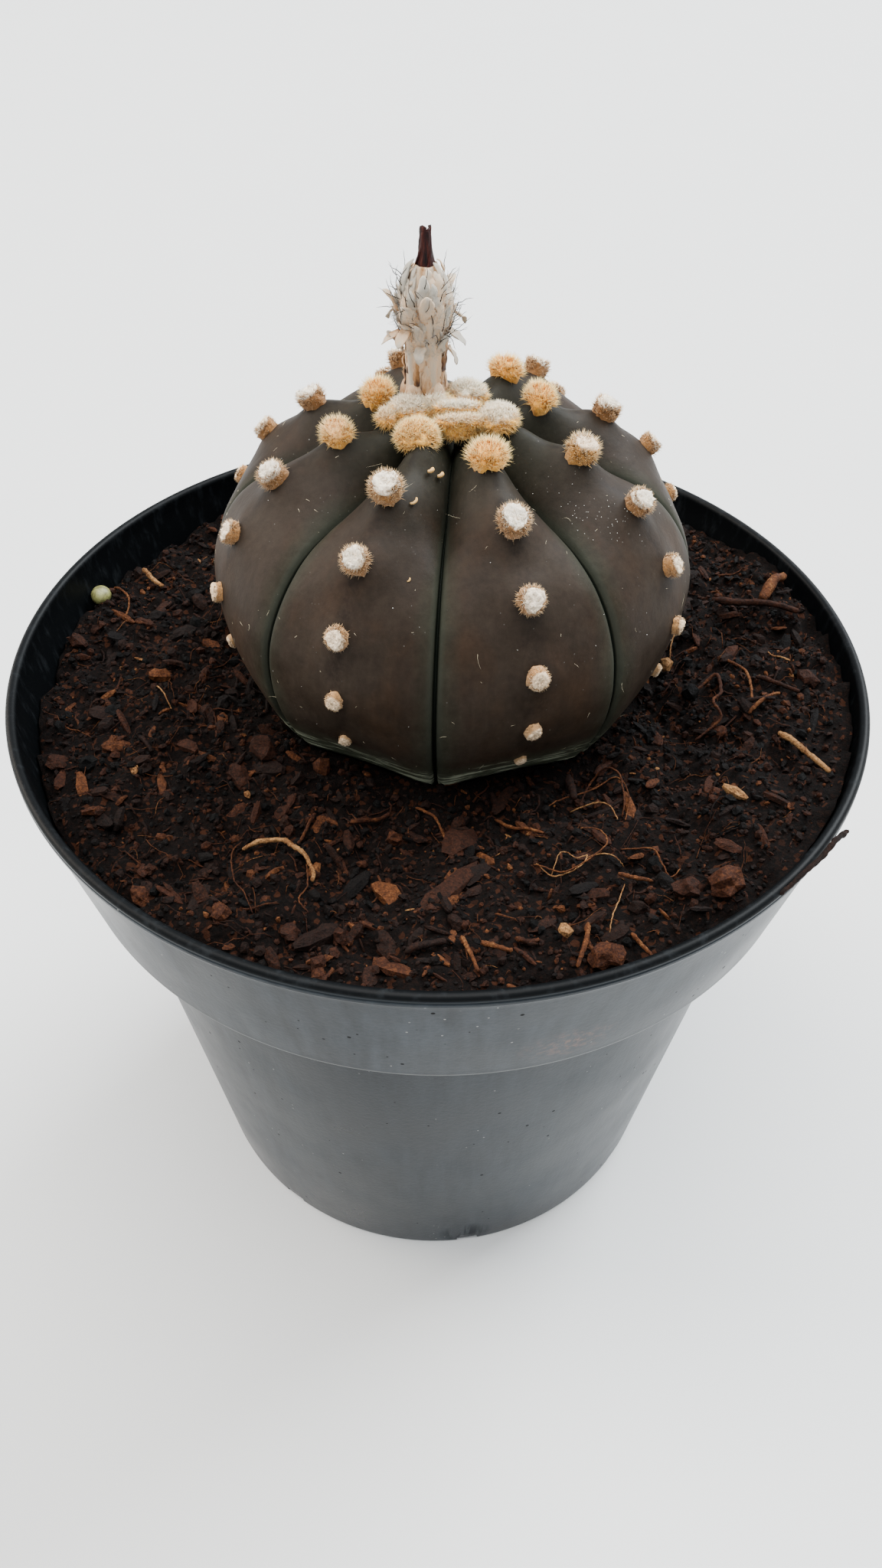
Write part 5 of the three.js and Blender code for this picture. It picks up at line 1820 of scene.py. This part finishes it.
    def build(self) -> None:
        """Makes the bed and all that lies on it."""
        rng = np.random.default_rng(3)
        add_piece("soil_bed", self.bed(), Peat().make(), ["soil"])
        litter = Litter().make()
        pieces = {
            "soil_crumbs": self.grains(rng, self.crumbs, 0.16, 0.62, 0),
            "soil_grains": self.grains(rng, self.grains_count, 0.4, 1.15, 0),
            "soil_lumps": self.grains(rng, self.big_lumps, 1.0, 2.0, 1),
            "bark_chips": self.bark(rng),
            "bark_flakes": self.flakes(rng),
        }
        for name, shape in pieces.items():
            add_piece(name, shape, litter, sharp=True)
        add_piece("root_fibres", self.fibre(rng), litter)
        add_piece("roots_and_sticks", self.laid(rng), litter)


# ---- Loose bits ----
@dataclass
class Dusting:
    """Loose bits: white flecks, fine threads and straw on the skin, and a seed on the soil."""

    stem: Stem
    soil: Soil
    flecks: int = 120
    threads: int = 220
    fleck_size: float = 0.062
    seed_place: tuple[float, float] = (-57.7, 19.9)
    seed_radius: float = 1.7
    busy_rib: int = 2
    straws: tuple[tuple[float, float, float, float], ...] = (
        (0.39, 0.293, 1.3, 0.2), (0.46, 0.203, 1.0, 0.3), (0.68, 0.189, 1.1, 0.3), (0.61, 0.454, 0.6, 0.12),
    )

    def on_skin(self, rng: Rng, count: int, busy: float) -> tuple[Array, Array]:
        """Random places on the skin and their outward directions, crowded on one rib by the given share."""
        stem = self.stem
        crowded = rng.uniform(0, 1, count) < busy
        side = rng.uniform(0.1, 0.85, count)
        turn = np.where(crowded, (2 * self.busy_rib - side) * stem.half_rib, rng.uniform(0, TAU, count))
        patch = 0.46 - 0.14 * side + rng.normal(0, 0.05, count)
        share = np.where(crowded, patch, rng.uniform(0.2, 0.97, count))
        points, normals, _ = stem.skin(np.mod(turn, TAU), share)
        return points, normals

    def grains(self, rng: Rng) -> Surface:
        """White flecks: tiny flattened grains on the skin."""
        points, normals = self.on_skin(rng, self.flecks, 0.5)
        size = self.fleck_size * rng.uniform(0.5, 1.5, (self.flecks, 3)) * (1, 1, 0.5)
        turns = (facing(normals) @ random_turns(rng, self.flecks, 0.3)) * size[:, None]
        return scattered(Soil.pebble(rng, 0), turns, points + normals * 0.08).tagged(tone=0.95)

    def lint(self, rng: Rng) -> Surface:
        """Fine pale threads lying along the skin."""
        points, normals = self.on_skin(rng, self.threads, 0.0)
        heading = unit(np.cross(normals, unit(rng.standard_normal((self.threads, 3)))))
        length = 0.5 + 2.0 * rng.uniform(0, 1, self.threads) ** 3
        return hairs(rng, points + normals * 0.1, heading, length, 0.014, 0.6, 5).tagged(tone=0.6)

    def straw(self) -> Surface:
        """Bent straw bits under the crown, by half ribs round, share down, length and thickness."""
        parts = []
        t = np.linspace(0, 1, 9)
        for halves, share, length, radius in self.straws:
            point, normal, _ = self.stem.skin(np.array([halves * self.stem.half_rib]), np.array([share]))
            half = length * 0.5
            arc = np.stack([np.sin(t * 2.4) * half, (1 - np.cos(t * 2.4)) * half - length * 0.4, 0 * t], -1)
            path = (arc + (0, 0, radius * 0.7)) @ facing(normal)[0].T + point[0]
            thick = radius * (0.6 + 0.4 * np.sin(t * math.pi))
            parts.append(tubes(path[None], thick[None], 7).tagged(tone=0.2))
        return joined(parts)

    def build(self) -> None:
        """Makes the flecks, threads, straw and seed."""
        rng = np.random.default_rng(44)
        speck = Speck().make()
        add_piece("skin_flecks", self.grains(rng), speck)
        add_piece("skin_threads", self.lint(rng), speck)
        add_piece("straw_bits", self.straw(), speck)
        x, y = self.seed_place
        middle = np.array([[x, y, self.soil.surface(np.array(x), np.array(y)) + self.seed_radius * 0.4]])
        ball = Soil.pebble(rng, 2)
        ball.points = unit(ball.points) * (1 + 0.03 * ripple(unit(ball.points), 1.5))[:, None]
        seed = scattered(ball, (np.eye(3) * self.seed_radius * (1, 1.05, 0.95))[None], middle)
        add_piece("seed", seed, SeedCoat().make())


# ---- Studio ----
@dataclass(frozen=True)
class Lamp:
    """A soft square lamp in metres and watts, facing the pot."""

    name: str
    place: tuple[float, float, float]
    size: float
    power: float
    colour: Colour


@dataclass
class Studio:
    """Pale floor, soft light and the camera."""

    image_height: int = 2048
    focal_pixels: float = 1537.2
    sensor: float = 36.0
    place: tuple[float, float, float] = (0.64, -143.16, 225.07)
    pitch: float = math.radians(45.31)
    roll: float = math.radians(0.95)
    floor_size: float = 12.0
    aim: tuple[float, float, float] = (0, 0, 0.1)
    sky: Colour = (0.88, 0.94, 1.0)
    sky_strength: float = 1.05
    lamps: tuple[Lamp, ...] = (
        Lamp("window", (1.8, 1.7, 2.4), 1.8, 285, (0.92, 0.97, 1.0)),
        Lamp("ceiling", (-0.2, -0.1, 3.0), 2.4, 202, (1.0, 0.985, 0.96)),
        Lamp("wall", (-2.4, 0.8, 1.5), 1.6, 105, (1.0, 0.90, 0.78)),
    )

    def camera(self) -> None:
        """A camera looking down at the pot, its lens worked out from the focal length in pixels."""
        lens = bpy.data.cameras.new("camera")
        lens.sensor_width = self.sensor
        lens.lens = self.sensor * self.focal_pixels / self.image_height
        lens.clip_start = 0.01
        turn = Matrix.Rotation(math.pi / 2 - self.pitch, 4, "X") @ Matrix.Rotation(self.roll, 4, "Z")
        eye = linked("camera", lens)
        eye.matrix_world = Matrix.Translation(Vector(self.place) * MM) @ turn
        bpy.context.scene.camera = eye

    def floor(self) -> None:
        """A wide pale floor."""
        half = self.floor_size / 2
        mesh = bpy.data.meshes.new("floor")
        corners = [(-half, -half, 0), (half, -half, 0), (half, half, 0), (-half, half, 0)]
        mesh.from_pydata(corners, [], [(0, 1, 2, 3)])
        mesh.materials.append(PaleFloor().make())
        linked("floor", mesh)

    def light(self) -> None:
        """The sky and the lamps."""
        world = bpy.data.worlds.new("studio")
        bpy.context.scene.world = world
        world.use_nodes = True
        background = world.node_tree.nodes["Background"].inputs
        background["Color"].default_value = (*self.sky, 1)
        background["Strength"].default_value = self.sky_strength
        for spec in self.lamps:
            lamp = bpy.data.lights.new(spec.name, "AREA")
            lamp.size = spec.size
            lamp.energy = spec.power
            lamp.color = spec.colour
            holder = linked(spec.name, lamp)
            holder.location = spec.place
            away = Vector(spec.place) - Vector(self.aim)
            holder.rotation_euler = away.to_track_quat("Z", "Y").to_euler()

    def build(self) -> None:
        """Sets up the floor, the camera and the light."""
        self.floor()
        self.camera()
        self.light()


def main() -> None:
    """Builds every part in order."""
    logging.basicConfig(level=logging.INFO, format="%(name)s %(message)s")
    pot, stem = Pot(), Stem()
    soil = Soil(pot, stem)
    for part in (Studio(), pot, stem, Areoles(stem), Crown(), Flower(), soil, Dusting(stem, soil)):
        LOG.info("building %s", type(part).__name__)
        part.build()


if __name__ == "__main__":
    main()
